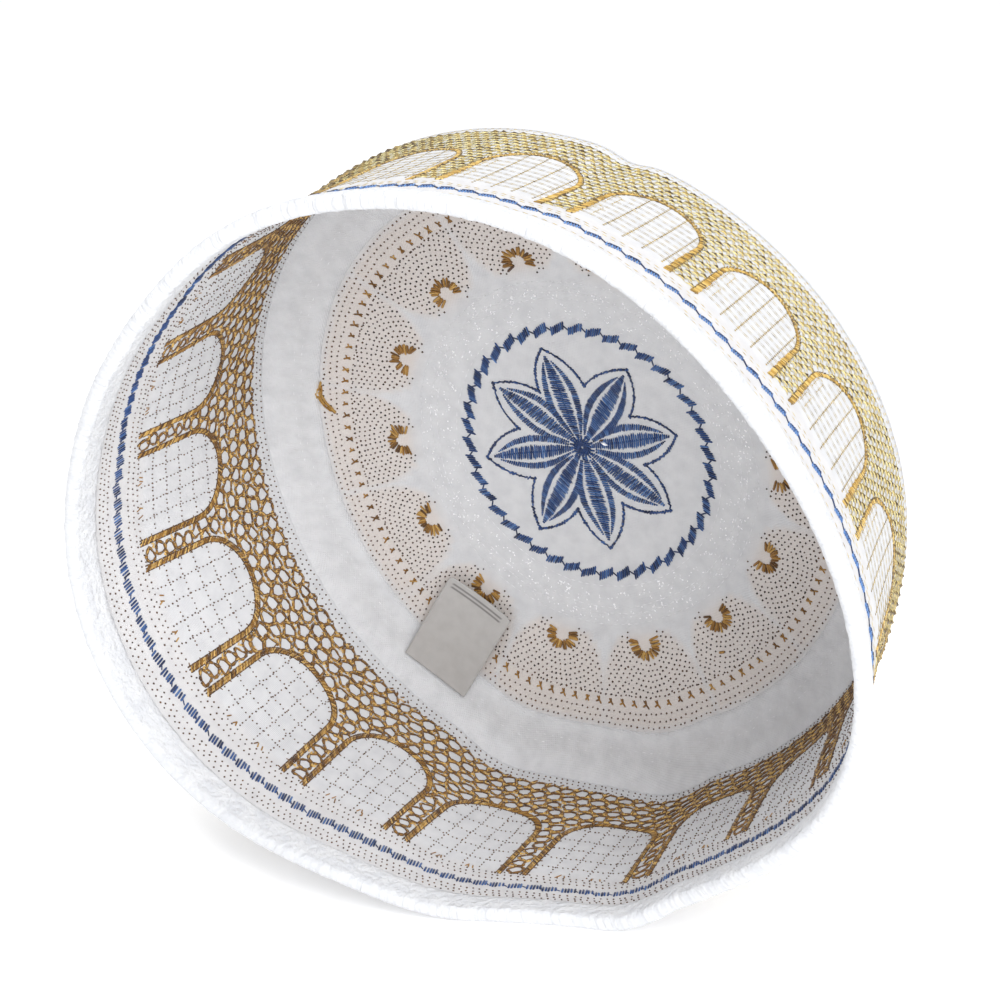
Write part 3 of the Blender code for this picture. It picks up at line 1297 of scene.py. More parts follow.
@dataclass
class WallOutside(Embroidery):
    """Embroidery on the outer face of the wall."""

    side: Side = Side.OUTSIDE
    cell: float = 0.0026
    row: float = 0.0021
    satin_widths: tuple = (0.0018, 0.0018, 0.0013, 0.0010, 0.0010, 0.0010, 0.0013, 0.0018, 0.0018)
    satin_edges: tuple = ((-0.0005, 0.00042), (0.0007, 0.00064))
    uprights: tuple = (-0.0101, -0.0049, 0.0001, 0.0049)
    upright_foot: float = 0.0232
    levels: tuple = (0.0256, 0.0285, 0.0314, 0.0343, 0.0372, 0.0401, 0.0430, 0.0459, 0.0488)
    level_narrows: float = 0.044
    level_reaches: tuple = (0.0112, 0.0074)
    loops: tuple = ((0.0275, 0.0326), (0.0380, 0.0430))
    loop_middle: float = 0.0102
    loop_half: float = 0.0009
    blue_height: float = 0.0143
    tooth_pitch: float = 0.0050
    tooth_stroke: float = 0.00058
    rim_rows: tuple = (0.0072, 0.0084, 0.0099, 0.0178, 0.0192)
    seam_rows: tuple = (0.0682, 0.0694)

    def __post_init__(self) -> None:
        """Draw the frieze and take the threads."""
        kit, finishes = self.kit, self.kit.finishes
        self.frieze = ArchFrieze(kit.shape, apex=0.0522, half=0.0124, net_top=0.0665)
        self.gold = self.thread("arch_embroidery", finishes.bright_gold, kit.strand, 21)
        self.net = self.thread("net_embroidery", finishes.pale_gold, kit.spindle, 22)
        self.lines = self.thread("fine_lines", finishes.pale_gold, kit.spindle, 23)
        self.blue = self.thread("blue_line", finishes.blue, kit.strand, 24)

    def sew_arches(self) -> None:
        """Sew the satin outlines, thick on the columns and thin over the arches."""
        for middle in self.frieze.windows():
            line = self.frieze.outline() + (middle, 0.0)
            self.gold.satin(
                line, self.satin_widths, pitch=0.00046, yarn=0.00040,
                tone=0.50, lean=0.6, thick=0.0004, ragged=0.25, shade=0.42,
            )
            for shift, thick in self.satin_edges:
                self.net.running(
                    beside(line, shift), pitch=0.0012, fill=1.0, width=0.0004, tone=0.14, thick=thick
                )

    def sew_net(self) -> None:
        """Sew the dense net: two crossing light threads and a dark dash for each cell."""
        frieze, random = self.frieze, self.net.random
        rows = int((frieze.net_top - frieze.foot) / self.row)
        for number in range(rows):
            height = frieze.net_top - self.row * (number + 0.5)
            middle = frieze.ring(height, self.cell, 0.5 * (number % 2))
            middle = wobble(middle[~frieze.is_open(middle, 0.0004)], 0.00012, 60 + number)
            half = np.array([self.cell / 2, self.row / 2])
            main = half * 1.1
            self.net.sew(middle - main, middle + main, width=0.00095, tone=0.66, thick=0.00032)
            cross = half * (1.15, -1.15)
            self.net.sew(middle - cross, middle + cross, width=0.00112, tone=0.88, thick=0.00038)
            dash = random.uniform(0.75, 1.25, (len(middle), 1)) * (0.00090, -0.00032)
            tones = random.uniform(0.0, 0.22, len(middle))
            self.net.sew(middle - dash, middle + dash, width=0.00052, tone=tones, thick=0.0008)

    def sew_windows(self) -> None:
        """Sew the grid in each window: gold uprights, pale double rows and small loops."""
        for across in self.uprights:
            top = float(self.frieze.arch(np.array(across))) - 0.0009
            line = np.array([[across, self.upright_foot], [across, top]])
            self.sew_line(line, pitch=0.0011, fill=0.85, width=0.00066, tone=0.30)
        for height in self.levels:
            reach = self.level_reaches[int(height >= self.level_narrows)]
            for shift in (-0.00035, 0.00035):
                line = np.array([[-reach, height + shift], [reach, height + shift]])
                self.sew_line(line, pitch=0.0022, fill=1.25, width=0.00016, tone=0.32, thick=0.0001)
        for low, high in self.loops:
            bow = polar(self.loop_half, np.linspace(0.0, math.pi, 9)) + (self.loop_middle, high)
            first, last = self.loop_middle + self.loop_half, self.loop_middle - self.loop_half
            loop = np.concatenate(([[first, low]], bow, [[last, low]]))
            self.sew_line(loop, pitch=0.0013, fill=0.9, width=0.00032, tone=0.45)

    def sew_line(self, line: np.ndarray, **stitch: float) -> None:
        """Sew the same running stitch in every window."""
        for middle in self.frieze.windows():
            self.lines.running(line + (middle, 0.0), **stitch)

    def sew_rows(self) -> None:
        """Sew the blue saw-tooth line and the pale rows near the rim and the seam."""
        frieze = self.frieze
        teeth = wobble(frieze.ring(self.blue_height, self.tooth_pitch), 0.00010, 9)
        for step in range(6):
            shift = (step - 2.5) * self.tooth_stroke
            centre = teeth + (shift, -0.42 * shift)
            reach = np.array([0.00024, 0.00098])
            tone = 1.0 if step % 2 else 0.75
            self.blue.sew(centre - reach, centre + reach, width=0.0005, tone=tone, thick=0.00045)
        low = teeth + (-0.0014, 0.0010)
        self.blue.sew(low, low + (0.0029, -0.0012), width=0.00032, tone=0.15, thick=0.0006)
        low, high = teeth + (0.0013, -0.0008), teeth + (0.0036, 0.0006)
        self.blue.sew(low, high, width=0.00036, tone=0.1, thick=0.0004)
        for height in self.rim_rows:
            row = wobble(frieze.ring(height, 0.0022, height * 900), 0.00008, int(height * 1e5))
            self.lines.sew(row - (0.0008, 0), row + (0.0008, 0), width=0.00028, thick=0.00016)
        for height in self.seam_rows:
            row = frieze.ring(height, 0.0021, height * 700)
            self.lines.sew(row - (0.0006, 0), row + (0.0006, 0), width=0.00028, thick=0.00016)

    def sew_motifs(self) -> None:
        """Sew every motif of this face."""
        self.sew_arches()
        self.sew_net()
        self.sew_windows()
        self.sew_rows()


@dataclass
class Rosette(Embroidery):
    """Embroidery of the crown: flower, blue ring, fans, marks and white rings."""

    chart: Chart = Chart.CROWN
    ring_radius: float = 0.0322
    ring_centre: tuple = (0.0, 0.00025)
    ring_stroke: float = 0.00056
    teeth: int = 43
    flower_centre: tuple = (-0.00175, 0.00097)
    tip_degrees: tuple = (15.8, 59.2, 109.0, 146.9, 192.8, 242.3, 284.3, 330.3)
    tip_radius: float = 0.0264
    valley_radius: float = 0.0168
    petal_bulge: float = 0.0027
    leaves: tuple = (
        (0.0, 0.0028, 0.0243, 0.0040),
        (0.0037, 0.0036, 0.0228, 0.0019),
        (-0.0037, 0.0036, 0.0228, 0.0019),
    )
    knot_rounds: tuple = (
        (0.0003, 0.0018, 0.6, 0.25), (0.0011, 0.0025, -0.5, 0.35), (0.0019, 0.0034, 0.2, 0.5)
    )
    fans: int = 14
    first_fan: float = math.radians(80.0)
    fan_half: float = 0.0032
    fan_low: float = 0.0466
    fan_top: float = 0.0628
    fan_rounds: tuple = (0.0050, 0.0172, 0.00128)
    fan_dot_pitch: float = 0.00131
    shoe_radius: float = 0.0502
    shoe_inner: float = 0.0016
    shoe_outer: float = 0.0043
    edge_dots: int = 290
    edge_rows: tuple = ((0.0627, 0.0), (0.0668, 0.5), (0.0684, 0.0), (0.0700, 0.5))
    marks: int = 126
    mark_radius: float = 0.0645
    vine_rings: tuple = (0.0352, 0.0404, 0.0420, 0.0448)
    vine_radius: float = 0.0402
    vine_swing: float = 0.0036
    glints: int = 900
    tint: float = 0.7
    tint_high: float = 0.0714
    tint_fade: float = 0.002

    def __post_init__(self) -> None:
        """Take the threads of this face."""
        kit, finishes = self.kit, self.kit.finishes
        inside = self.side is Side.INSIDE
        gold, seed = (finishes.gold, 30) if inside else (finishes.bright_gold, 40)
        self.blue = self.thread("flower", finishes.blue, kit.strand, seed)
        self.gold = self.thread("fans", gold, kit.strand, seed + 1)
        self.spots = self.thread("fan_dots", finishes.dark, kit.dot, seed + 2)
        self.white = self.thread("white_rings", finishes.white, kit.spindle, seed + 3)

    def sew_ring(self) -> None:
        """Sew the ring of blue teeth, each climbing outwards."""
        centre, random = np.array(self.ring_centre), self.blue.random
        angle = round_angles(self.teeth) + random.normal(0.0, 0.003, self.teeth)
        for step in range(7):
            shift = (step - 3) * self.ring_stroke
            place = angle - shift / self.ring_radius
            low, high = random.uniform(0.00105, 0.00140, (2, self.teeth))
            inner = polar(self.ring_radius + shift * 0.42 - low, place + 0.005)
            outer = polar(self.ring_radius + shift * 0.42 + high, place - 0.008)
            tones = 0.42 + random.uniform(-0.3, 0.3, self.teeth)
            self.blue.sew(centre + inner, centre + outer, width=0.0005, tone=tones, thick=0.0005)
        start = polar(self.ring_radius + 0.0008, angle - 0.00165 / self.ring_radius)
        ahead = angle - math.tau / self.teeth + 0.0016 / self.ring_radius
        end = polar(self.ring_radius - 0.0006, ahead)
        self.blue.sew(centre + start, centre + end, width=0.0004, tone=0.1)

    def petals(self) -> list:
        """Angles of the tips with the valleys before and after them.

        Returns:
            One row of three angles for each petal.
        """
        tips = np.radians(self.tip_degrees)
        after = np.append(tips[1:], tips[0] + math.tau)
        before = np.insert(tips[:-1], 0, tips[-1] - math.tau)
        return list(zip(tips, (tips + before) / 2, (tips + after) / 2))

    def sew_flower(self) -> None:
        """Sew the outline, the leaves and the knot of the flower."""
        centre = np.array(self.flower_centre)
        for tip, low, high in self.petals():
            for valley in (low, high):
                start = polar(self.valley_radius, valley)
                end = polar(self.tip_radius, tip)
                out = sideways((end - start) / np.linalg.norm(end - start))
                out = out * np.sign(out @ polar(1.0, valley))
                bulge = (start + end) / 2 + out * self.petal_bulge
                part = np.linspace(0.0, 1.0, 17)[:, None]
                line = (1 - part) ** 2 * start + 2 * part * (1 - part) * bulge + part**2 * end
                self.sew_chain(line + centre)
            for leaf in self.leaves:
                self.sew_leaf(centre, tip, *leaf)
        spin = round_angles(18)
        for near, far, turn, tone in self.knot_rounds:
            start, end = polar(near, spin + near * 90), polar(far, spin + turn)
            self.blue.sew(centre + start, centre + end, width=0.0005, tone=tone, thick=0.0007)

    def sew_chain(self, line: np.ndarray) -> None:
        """Sew the uneven dark line round the flower.

        Args:
            line: chart points of the line.
        """
        random = self.blue.random
        points, heading = resample(line, 0.00078)
        slant = sideways(heading) * random.normal(0.00014, 0.00018, (len(points), 1))
        reach = heading * random.uniform(0.00042, 0.00062, (len(points), 1))
        tones = 0.20 + random.uniform(-0.2, 0.35, len(points))
        wide = random.uniform(0.00038, 0.00078, len(points))
        self.blue.sew(points - reach - slant, points + reach + slant, wide, tones, thick=0.0005)

    def sew_leaf(
        self, centre: np.ndarray, tip: float, offset: float, low: float, high: float, width: float
    ) -> None:
        """Sew one leaf of the flower with stitches across it.

        Args:
            centre: middle of the flower.
            tip: angle of the petal.
            offset: greatest distance of the leaf from the petal's middle line.
            low: radius where the leaf begins.
            high: radius where it ends.
            width: greatest width of the leaf.
        """
        part = np.linspace(0.0, 1.0, 25)
        radius = low + (high - low) * part
        side = offset * np.sin(math.pi * (0.10 + 0.80 * part))
        wide = width * np.clip(np.sin(math.pi * (0.06 + 0.90 * part)), 0.12, 1.0) ** 0.8
        line = rows_of(radius, side) @ turned_by(tip) + centre
        self.blue.satin(
            line, wide, pitch=0.00056, yarn=0.00047,
            tone=0.50, lean=0.25, thick=0.00055, ragged=0.13, shade=0.28,
        )
        if not offset:
            self.blue.running(line[3:-3], pitch=0.001, fill=1.1, width=0.0006, tone=0.15, thick=0.0003)

    def fan_angles(self) -> np.ndarray:
        """Angles of the middles of the fans."""
        return self.first_fan + round_angles(self.fans)

    def fan_reach(self, radius: np.ndarray) -> np.ndarray:
        """Half the width of a fan at each radius.

        Args:
            radius: distances from the axis.

        Returns:
            Distances along the round.
        """
        part = clamp((radius - 0.0468) / 0.0125)
        full = math.pi / self.fans * radius
        return self.fan_half + (full - self.fan_half) * np.sqrt(clamp(part * (2 - part)))

    def fan_dots(self) -> np.ndarray:
        """Dots of one fan that points along the first chart length.

        Returns:
            Chart points of the dots.
        """
        dots = []
        for reach in np.arange(*self.fan_rounds):
            step = self.fan_dot_pitch / reach
            turns = np.arange(-2.3, 2.3, step) + (0.5 * step if len(dots) % 2 else 0.0)
            dots.append(polar(reach, turns))
        dots = np.concatenate(dots) + (self.shoe_radius, 0.0)
        radius, angle = np.hypot(dots[:, 0], dots[:, 1]), np.arctan2(dots[:, 1], dots[:, 0])
        keep = np.abs(angle) * radius < self.fan_reach(radius) - 0.0004
        return dots[keep & (radius < self.fan_top) & (radius > self.fan_low)]

    def sew_fans(self) -> None:
        """Sew the horseshoes and the dots round them."""
        spread = np.radians(np.linspace(-114, 114, 22))
        inner = polar(self.shoe_inner, spread) + (self.shoe_radius, 0.0)
        outer = polar(self.shoe_outer, spread) * (0.9, 1.0) + (self.shoe_radius, 0.0)
        dots = self.fan_dots()
        for index, fan in enumerate(self.fan_angles()):
            turn = turned_by(fan)
            start = wobble(inner, 0.00016, index) @ turn
            end = wobble(outer, 0.00024, 50 + index) @ turn
            tones = 0.42 + self.gold.random.uniform(-0.25, 0.25, len(spread))
            self.gold.sew(start, end, width=0.00064, tone=tones, thick=0.0006)
            self.spots.dots(wobble(dots, 0.00012, 90 + index) @ turn, size=0.0005, tone=0.12)
        for radius, shift in self.edge_rows:
            row = polar(radius, round_angles(self.edge_dots) + shift * math.tau / self.edge_dots)
            self.spots.dots(wobble(row, 0.00012, int(radius * 1e5)), size=0.00048, tone=0.3)

    def sew_marks(self) -> None:
        """Sew the ring of small crossed marks."""
        random = self.gold.random
        out = polar(1.0, round_angles(self.marks))
        middle, along = self.mark_radius * out, sideways(out)
        size = random.uniform(0.9, 1.35, (self.marks, 1)) * MM
        crossed = random.integers(0, 3, self.marks)[:, None] == 0
        first = 0.85 * out + 0.5 * along
        second = np.where(crossed, 0.85 * out - 0.6 * along, 0.4 * out - 0.8 * along)
        tones = random.uniform(0.2, 0.6, self.marks)
        back = second * size * crossed
        for start, end in ((first * size, first * size), (back, second * size)):
            self.gold.sew(middle - start, middle + end, width=0.00046, tone=tones, thick=0.0004)
        self.gold.sew(middle, middle - out * size * 0.9, width=0.00042, tone=0.25, thick=0.0004)

    def sew_white(self) -> None:
        """Sew the white vine, its rings and its glints between the blue ring and the fans."""
        for radius in self.vine_rings:
            angle = round_angles(int(math.tau * radius / 0.0019))
            reach = 0.00085 / radius
            wavy = radius * (1 + 0.004 * np.sin(angle * 9 + radius * 3000))
            start, end = polar(wavy, angle - reach), polar(wavy, angle + reach)
            self.white.sew(start, end, width=0.00022, tone=0.45, thick=0.00014)
        random, count = self.white.random, self.glints
        turn = random.uniform(0.0, math.tau, count)
        kind = random.integers(0, 3, count)
        swing = np.choose(kind, (np.sin(turn * 22), np.sin(turn * 22 + math.pi), np.cos(turn * 44)))
        radius = self.vine_radius + self.vine_swing * swing + random.normal(0.0, 0.0005, count)
        start = polar(radius, turn)
        lean = polar(random.uniform(0.0003, 0.0008, count), random.uniform(0, math.tau, count))
        tones = random.uniform(0.4, 1.0, count)
        # These glint stitches are white thread; part of their brightness is the painted glow of the
        # white thread.
        self.white.sew(start, start + lean, width=0.00036, tone=tones, thick=0.00034)

    def sew_oddments(self) -> None:
        """Sew the loose gold end, the gold knot and the light speck of the worn thing."""
        bend = np.array([[-69.8, 11.6], [-70.6, 8.8], [-69.6, 6.4], [-67.6, 4.4]]) * MM
        points, heading = resample(bend, 0.0011)
        swell = np.interp(np.linspace(0, 1, len(points)), (0, 0.3, 0.8, 1), (0.2, 1.0, 0.8, 0.3))
        for shift in (-0.0006, 0.0, 0.0006):
            middle = points + sideways(heading) * swell[:, None] * shift
            middle = wobble(middle, 0.00008, int(9 + shift * 1e4))
            reach = heading * 0.0009
            self.gold.sew(middle - reach, middle + reach, width=0.0004, tone=0.62, thick=0.0009)
        knot = np.array([[34.7, -46.4]]) * MM
        reach = (0.0008, 0.0003)
        self.gold.sew(knot - reach, knot + reach, width=0.0007, tone=0.7, thick=0.0007)
        speck = np.array([self.flower_centre]) + (0.0061, 0.0019)
        reach = (0.0011, -0.0003)
        self.white.sew(speck - reach, speck + reach, width=0.001, tone=1.0, thick=0.0014)
        low, high = speck - (0.0013, -0.0007), speck - (0.0002, -0.0010)
        self.gold.sew(low, high, width=0.0004, tone=0.2, thick=0.0014)

    def sew_motifs(self) -> None:
        """Sew every motif of this face."""
        self.sew_ring()
        self.sew_flower()
        self.sew_fans()
        self.sew_marks()
        self.sew_white()
        if self.side is Side.INSIDE:
            self.sew_oddments()

    def stain(self, x: np.ndarray, y: np.ndarray) -> np.ndarray:
        """How strongly the cloth under the fans is tinted at chart points.

        Args:
            x: first chart lengths.
            y: second chart lengths.

        Returns:
            Strengths from 0 to 1.
        """
        radius, angle = np.hypot(x, y), np.arctan2(y, x)
        pitch = math.tau / self.fans
        away = np.abs((angle - self.first_fan + pitch / 2) % pitch - pitch / 2) * radius
        inside = clamp((self.fan_reach(radius) - away) / 0.0016 + 0.3)
        rise = clamp((radius - self.fan_low) / self.tint_fade)
        return self.tint * inside * rise * clamp((self.tint_high - radius) / self.tint_fade)


@dataclass
class ClothShell:
    """The cloth pieces of the cap, each turned about its axis and laid on the floor."""

    shape: WornShape
    finishes: Finishes
    rosette: Rosette
    steps: int = 360
    pile: float = 0.0009
    tape: float = 0.0008
    leg: float = 0.0060
    outer_leg: float = 0.0050
    band_low: float = 0.0015
    band_top: float = 0.0702
    tape_low: float = 0.0688
    tape_end: float = 0.0712
    tape_edge: float = 0.00006
    tape_touch: float = 0.00004
    tape_soft: float = 0.0030
    tape_rows: tuple = (0.0752, 0.0770, 0.0790)
    corner: tuple = ((0.0840, 0.0705), (0.0837, 0.0714))
    crown_edge: float = 0.0833
    pile_rough: float = 0.00011
    rim_tint: float = 0.18
    rim_tinted: tuple = (0.0065, 0.0235)
    rim_tint_fade: float = 0.002

    def offset(self, line: np.ndarray, distance: float | np.ndarray) -> np.ndarray:
        """Move a line of radius and height sideways, away from the hollow of the cap.

        Args:
            line: rows of radius and height.
            distance: one distance, or one for each row.

        Returns:
            The moved line.
        """
        heading = np.gradient(line, axis=0)
        heading /= np.linalg.norm(heading, axis=1, keepdims=True)
        out = -sideways(heading)
        out[line[:, 0] == 0.0] = (0.0, 1.0)
        return line + out * np.reshape(distance, (-1, 1))

    def wall_line(self, low: float, high: float, rows: int) -> np.ndarray:
        """Middle line of the wall between two heights."""
        heights = np.linspace(low, high, rows)
        return rows_of(self.shape.wall_radius(heights), heights)

    def crown_line(self, outer: float, inner: float, rows: int) -> np.ndarray:
        """Middle line of the crown between two radii.

        Args:
            outer: radius where the line begins.
            inner: radius where it ends.
            rows: number of its points.

        Returns:
            Rows of radius and height.
        """
        even = np.linspace(0.0, 1.0, rows)
        radii = outer + (inner - outer) * even**1.25
        return rows_of(radii, self.shape.crown_height(radii))

    def turned(self, section: np.ndarray, closed: bool, steps: int) -> bmesh.types.BMesh:
        """Turn a section of radius and height about the axis.

        Args:
            section: rows of radius and height.
            closed: whether the last point joins the first.
            steps: number of steps round.

        Returns:
            The turned form, with its doubles merged and its faces outwards.
        """
        form = bmesh.new()
        points = [form.verts.new((radius, 0.0, height)) for radius, height in section]
        for first, second in zip(points, points[1:] + ([points[0]] if closed else [])):
            form.edges.new((first, second))
        bmesh.ops.spin(
            form, geom=form.verts[:] + form.edges[:], cent=(0, 0, 0), axis=(0, 0, 1),
            dvec=(0, 0, 0), angle=math.tau, steps=steps, use_merge=True,
        )
        bmesh.ops.remove_doubles(form, verts=form.verts, dist=0.000005)
        bmesh.ops.recalc_face_normals(form, faces=form.faces)
        order_faces(form)
        return form

    def laid(
        self, name: str, form: bmesh.types.BMesh, chart: Chart, rough: float = 0.0
    ) -> bpy.types.Mesh:
        """Lay a turned form on the floor with its cloth map and its stain.

        Args:
            name: name of the mesh.
            form: the turned form.
            chart: the chart that its cloth map and its waves follow.
            rough: greatest random move of a point, for pile.

        Returns:
            The mesh.
        """
        mesh = mesh_from(name, form)
        flat = np.empty(len(mesh.vertices) * 3)
        mesh.vertices.foreach_get("co", flat)
        x, y, height = flat.reshape(-1, 3).T
        radius, angle = np.hypot(x, y), np.arctan2(y, x)
        if rough:
            radius, height = self.roughened(radius, angle, height, rough)
        if chart is Chart.WALL:
            radius = radius + self.shape.wall_relief(angle, height)
            spots = rows_of(angle * self.shape.rim_radius, height)
            stain = self.wall_stain(height)
        else:
            height = height + self.shape.crown_relief(x, y)
            spots = rows_of(x, y)
            stain = self.rosette.stain(x, y)
        points = self.shape.settle(radius, angle, height)
        mesh.vertices.foreach_set("co", points.ravel())
        mesh.flip_normals()
        self.add_cloth_map(mesh, spots, chart)
        paint(mesh, "stain", stain)
        smooth(mesh)
        mesh.update()
        return mesh

    def roughened(
        self, radius: np.ndarray, angle: np.ndarray, height: np.ndarray, rough: float
    ) -> tuple:
        """Radius and height with the lumps and tufts of pile.

        Args:
            radius: distances from the axis.
            angle: angles round it.
            height: distances from the rim plane.
            rough: greatest random move.

        Returns:
            The new radius and height.
        """
        random = np.random.default_rng(2)
        lumps = 0.5 * np.sin(87 * angle + 900 * height) + 0.5 * np.sin(141 * angle - 1300 * radius)
        move = rough * (0.45 * lumps + random.normal(0.0, 0.5, len(radius)))
        middle = self.shape.wall_radius(height)
        return radius + np.sign(radius - middle) * move, height - np.abs(move) * (height < 0.0012)

    def wall_stain(self, height: np.ndarray) -> np.ndarray:
        """How strongly the wall is tinted at each height."""
        rise = clamp((height - self.rim_tinted[0]) / self.rim_tint_fade)
        return self.rim_tint * rise * clamp((self.rim_tinted[1] - height) / self.rim_tint_fade)

    def add_cloth_map(self, mesh: bpy.types.Mesh, spots: np.ndarray, chart: Chart) -> None:
        """Add the cloth map in metres, without a jump where the chart closes.

        Args:
            mesh: the laid mesh.
            spots: chart place of each point.
            chart: its chart.
        """
        corners = corners_of(mesh)
        values = spots[corners]
        if chart is Chart.WALL:
            turn = math.tau * self.shape.rim_radius
            starts = np.empty(len(mesh.polygons), dtype=np.int32)
            mesh.polygons.foreach_get("loop_start", starts)
            highest = np.maximum.reduceat(values[:, 0], starts)
            sizes = np.diff(np.append(starts, len(corners)))
            values[:, 0] += turn * (np.repeat(highest, sizes) - values[:, 0] > turn / 2)
        add_map(mesh, "cloth", values)

    def build_band(self) -> bpy.types.Object:
        """Side wall.

        Returns:
            The piece.
        """
        line = self.wall_line(self.band_low, self.band_top, 44)
        half = self.shape.wall / 2
        section = np.concatenate((self.offset(line, half), self.offset(line, -half)[::-1]))
        mesh = self.laid("band_cloth", self.turned(section, True, self.steps), Chart.WALL)
        piece = add_piece("band_cloth", mesh, self.finishes.cotton)
        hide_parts("band")
        return piece

    def build_crown(self) -> bpy.types.Object:
        """Domed top.

        Returns:
            The piece.
        """
        line = np.concatenate((self.corner, self.crown_line(self.crown_edge, 0.0, 42)))
        half = self.shape.wall / 2
        section = np.concatenate((self.offset(line, half)[::-1], self.offset(line, -half)))
        mesh = self.laid("crown_cloth", self.turned(section, False, 300), Chart.CROWN)
        piece = add_piece("crown_cloth", mesh, self.finishes.cotton)
        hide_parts("crown")
        return piece

    def build_binding(self) -> bpy.types.Object:
        """Plush tape folded over the edge.

        Returns:
            The piece.
        """
        line = self.wall_line(self.band_low, self.band_low + self.leg, 9)
        outer = self.wall_line(self.band_low, self.band_low + self.outer_leg, 9)
        gap = self.shape.gap
        near = self.shape.wall / 2 + gap
        soft = self.pile * (1 - np.linspace(0, 1, 9) ** 4 * 0.55)
        middle = float(self.shape.wall_radius(np.array(self.band_low)))
        far = near + self.pile
        turn = np.linspace(0.0, math.pi, 9)[1:-1]
        nose = rows_of(middle + far * np.cos(turn), self.band_low - 0.8 * far * np.sin(turn))
        floor = np.array([(middle - near, self.band_low - gap), (middle + near, self.band_low - gap)])
        section = np.concatenate(
            (
                self.offset(outer, near + soft)[::-1],
                nose,
                self.offset(line, -near - soft),
                self.offset(line, -near)[::-1],
                floor,
                self.offset(outer, near),
            )
        )
        form = self.turned(section, True, 620)
        mesh = self.laid("plush_binding", form, Chart.WALL, self.pile_rough)
        piece = add_piece("plush_binding", mesh, self.finishes.plush)
        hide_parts("rim_binding")
        return piece

    def build_tape(self) -> bpy.types.Object:
        """Margin that covers the seam inside.

        Returns:
            The piece.
        """
        wall = self.wall_line(self.tape_low, self.band_top, 4)[:-1]
        line = np.concatenate(
            (wall, self.corner, self.crown_line(self.crown_edge, self.tape_end, 12))
        )
        run = np.append(0.0, np.cumsum(np.linalg.norm(np.diff(line, axis=0), axis=1)))
        soft = clamp(np.minimum(run, run[-1] - run) / self.tape_soft)
        near = self.shape.wall / 2 + self.tape_touch + (self.shape.gap - self.tape_touch) * soft
        far = near + self.tape_edge + (self.tape - self.tape_edge) * soft
        section = np.concatenate((self.offset(line, -near), self.offset(line, -far)[::-1]))
        mesh = self.laid("tape_cloth", self.turned(section, True, self.steps), Chart.CROWN)
        piece = add_piece("tape_cloth", mesh, self.finishes.lining)
        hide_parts("seam_tape")
        return piece

    def build_tape_stitches(self, form: StitchForm) -> bpy.types.Object:
        """Rows of white stitches that hold the tape.

        Args:
            form: form of each stitch.

        Returns:
            The piece.
        """
        thread = Thread(
            "tape_stitches", Chart.CROWN, Side.INSIDE, self.finishes.white, form, self.shape, 60,
            "lining_cotton", self.shape.gap + self.tape,
        )
        angle = round_angles(210)
        for radius in self.tape_rows:
            reach = 0.00085 / radius
            start, end = polar(radius, angle - reach), polar(radius, angle + reach)
            thread.sew(start, end, width=0.00026, tone=0.45, thick=0.00016)
        return thread.piece()

    def build(self, form: StitchForm) -> list:
        """Build every cloth piece.

        Args:
            form: form of the tape's stitches.

        Returns:
            The pieces.
        """
        pieces = [self.build_band(), self.build_crown(), self.build_binding(), self.build_tape()]
        for piece in pieces:
            LOG.info("%s: %d faces", piece.name, len(piece.data.polygons))
        return pieces + [self.build_tape_stitches(form)]


@dataclass
class LabelTab:
    """Bare satin tab sewn over the tape, with two plain printed lines."""

    shape: WornShape
    finishes: Finishes
    base: tuple = (-0.0422, -0.0644)
    heading: float = math.radians(60)
    length: float = 0.0262
    width: float = 0.0190
    clear: float = 0.0023
    rise: float = 0.0012
    cup: float = 0.0005
    tag: float = 0.0007
    back: float = 0.0002
    thickness: float = 0.0003
    line_places: tuple = (0.905, 0.945)
    line_half: float = 0.006
    line_reach: float = 0.8

    def laid(self, part: np.ndarray, across: np.ndarray) -> np.ndarray:
        """Lay points of the tab.

        Args:
            part: places along the tab from 0 to 1.
            across: places across it from -1 to 1.

        Returns:
            Points in the frame of the cap.
        """
        along = part * self.length
        side = across * self.width / 2
        x = self.base[0] + math.cos(self.heading) * along + math.sin(self.heading) * side
        y = self.base[1] + math.sin(self.heading) * along - math.cos(self.heading) * side
        lift = self.clear + self.rise * np.sin(math.pi / 2 * part) + self.cup * part * across**2
        radius = np.hypot(x, y)
        height = self.shape.crown_height(radius) - lift - self.tag + self.back
        return self.shape.settle(radius, np.arctan2(y, x), height)

    def build(self) -> bpy.types.Object:
        """Build the tab.

        Returns:
            The piece.
        """
        form = bmesh.new()
        bmesh.ops.create_grid(form, x_segments=100, y_segments=30, size=1.0)
        for vertex in form.verts:
            corner = max(0.0, abs(vertex.co.y) - 0.9) * max(0.0, vertex.co.x - 0.93)
            vertex.co.x -= corner * 6
        flat = np.array([vertex.co for vertex in form.verts])
        part, across = (flat[:, 0] + 1) / 2, flat[:, 1]
        for vertex, point in zip(form.verts, self.laid(part, across)):
            vertex.co = point
        mesh = mesh_from("label_tab", form)
        spots = rows_of(part * self.length, across * self.width / 2)
        add_map(mesh, "cloth", spots[corners_of(mesh)])
        printed = sum(clamp(1.6 - np.abs(part - place) / self.line_half) for place in self.line_places)
        paint(mesh, "stain", printed * (np.abs(across) < self.line_reach))
        smooth(mesh)
        piece = add_piece("label_tab", mesh, self.finishes.satin)
        solid = piece.modifiers.new("Thickness", "SOLIDIFY")
        solid.thickness = self.thickness
        solid.offset = 0.0
        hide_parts("label")
        LOG.info("label_tab: %d faces", len(mesh.polygons))
        return piece


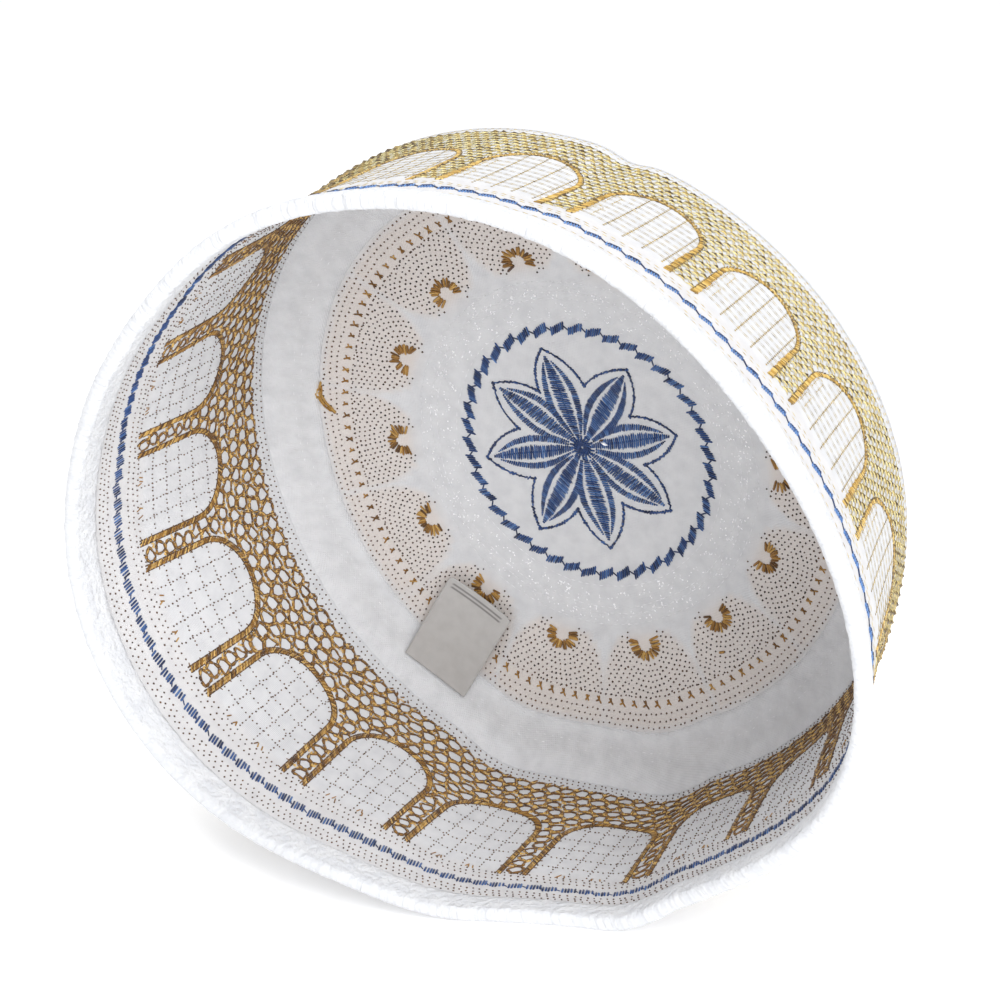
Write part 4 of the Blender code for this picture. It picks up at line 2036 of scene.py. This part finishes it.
@dataclass(frozen=True)
class Studio:
    """Camera, pale floor and soft light."""

    camera_place: tuple = (0.2683, -0.5228, 0.3234)
    azimuth: float = math.radians(27.214)
    elevation: float = math.radians(21.589)
    roll: float = math.radians(-1.904)
    lens: float = 99.99
    sensor: float = 36.0
    floor_half: float = 3.0
    floor_grey: float = 0.97
    glow: float = 0.22
    sky: tuple = (0.98, 0.985, 1.0, 1.0)
    sky_strength: float = 0.60
    aim: tuple = (0.0, 0.0, 0.08)

    def add_camera(self) -> None:
        """Add the camera at the view of the photograph."""
        data = bpy.data.cameras.new("view")
        data.lens = self.lens
        data.sensor_width = self.sensor
        camera = add_object("view", data)
        turn = (
            Matrix.Rotation(self.azimuth, 4, "Z")
            @ Matrix.Rotation(math.pi / 2 - self.elevation, 4, "X")
            @ Matrix.Rotation(self.roll, 4, "Z")
        )
        camera.matrix_world = Matrix.Translation(self.camera_place) @ turn
        bpy.context.scene.camera = camera

    def add_floor(self) -> None:
        """Add the pale floor."""
        form = bmesh.new()
        bmesh.ops.create_grid(form, x_segments=8, y_segments=8, size=self.floor_half)
        mesh = mesh_from("floor", form)
        material = bpy.data.materials.new("pale_floor")
        shader = nodes_of(material)[1]
        shader.inputs["Base Color"].default_value = (*[self.floor_grey] * 3, 1.0)
        shader.inputs["Roughness"].default_value = 0.9
        shader.inputs["Emission Color"].default_value = (1.0, 1.0, 1.0, 1.0)
        shader.inputs["Emission Strength"].default_value = self.glow
        mesh.materials.append(material)
        floor = add_object("floor", mesh)
        floor.location.z = -0.0001

    def add_light(self, name: str, place: tuple, size: float, power: float) -> None:
        """Add a square soft light that faces the cap.

        Args:
            name: name of the light.
            place: where it stands.
            size: length of its side.
            power: its power in watts.
        """
        data = bpy.data.lights.new(name, "AREA")
        data.size = size
        data.energy = power
        light = add_object(name, data)
        away = np.subtract(self.aim, place)
        flat = math.hypot(away[0], away[1])
        light.rotation_euler = (math.atan2(flat, -away[2]), 0.0, math.atan2(-away[0], away[1]))
        light.location = place

    def build(self) -> None:
        """Build the studio."""
        self.add_camera()
        self.add_floor()
        self.add_light("key", (0.84, -0.76, 0.85), size=0.8, power=12.3)
        self.add_light("top", (-0.35, 0.02, 1.25), size=1.0, power=7.0)
        world = bpy.data.worlds.new("studio")
        world.use_nodes = True
        sky = world.node_tree.nodes["Background"]
        sky.inputs["Color"].default_value = self.sky
        sky.inputs["Strength"].default_value = self.sky_strength
        bpy.context.scene.world = world
        bpy.context.scene.view_settings.view_transform = "Standard"


def main() -> None:
    """Build and dress the cap."""
    logging.basicConfig(level=logging.INFO, format="%(name)s: %(message)s")
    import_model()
    shape, finishes = WornShape(), Finishes()
    kit = Kit(shape, finishes, StitchForm.strand(), StitchForm.spindle(), StitchForm.dot())
    Studio().build()
    inside = Rosette(kit, Side.INSIDE)
    ClothShell(shape, finishes, inside).build(kit.spindle)
    inside.build()
    Rosette(kit, Side.OUTSIDE).build()
    WallInside(kit).build()
    WallOutside(kit).build()
    LabelTab(shape, finishes).build()
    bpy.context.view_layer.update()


if __name__ == "__main__":
    main()
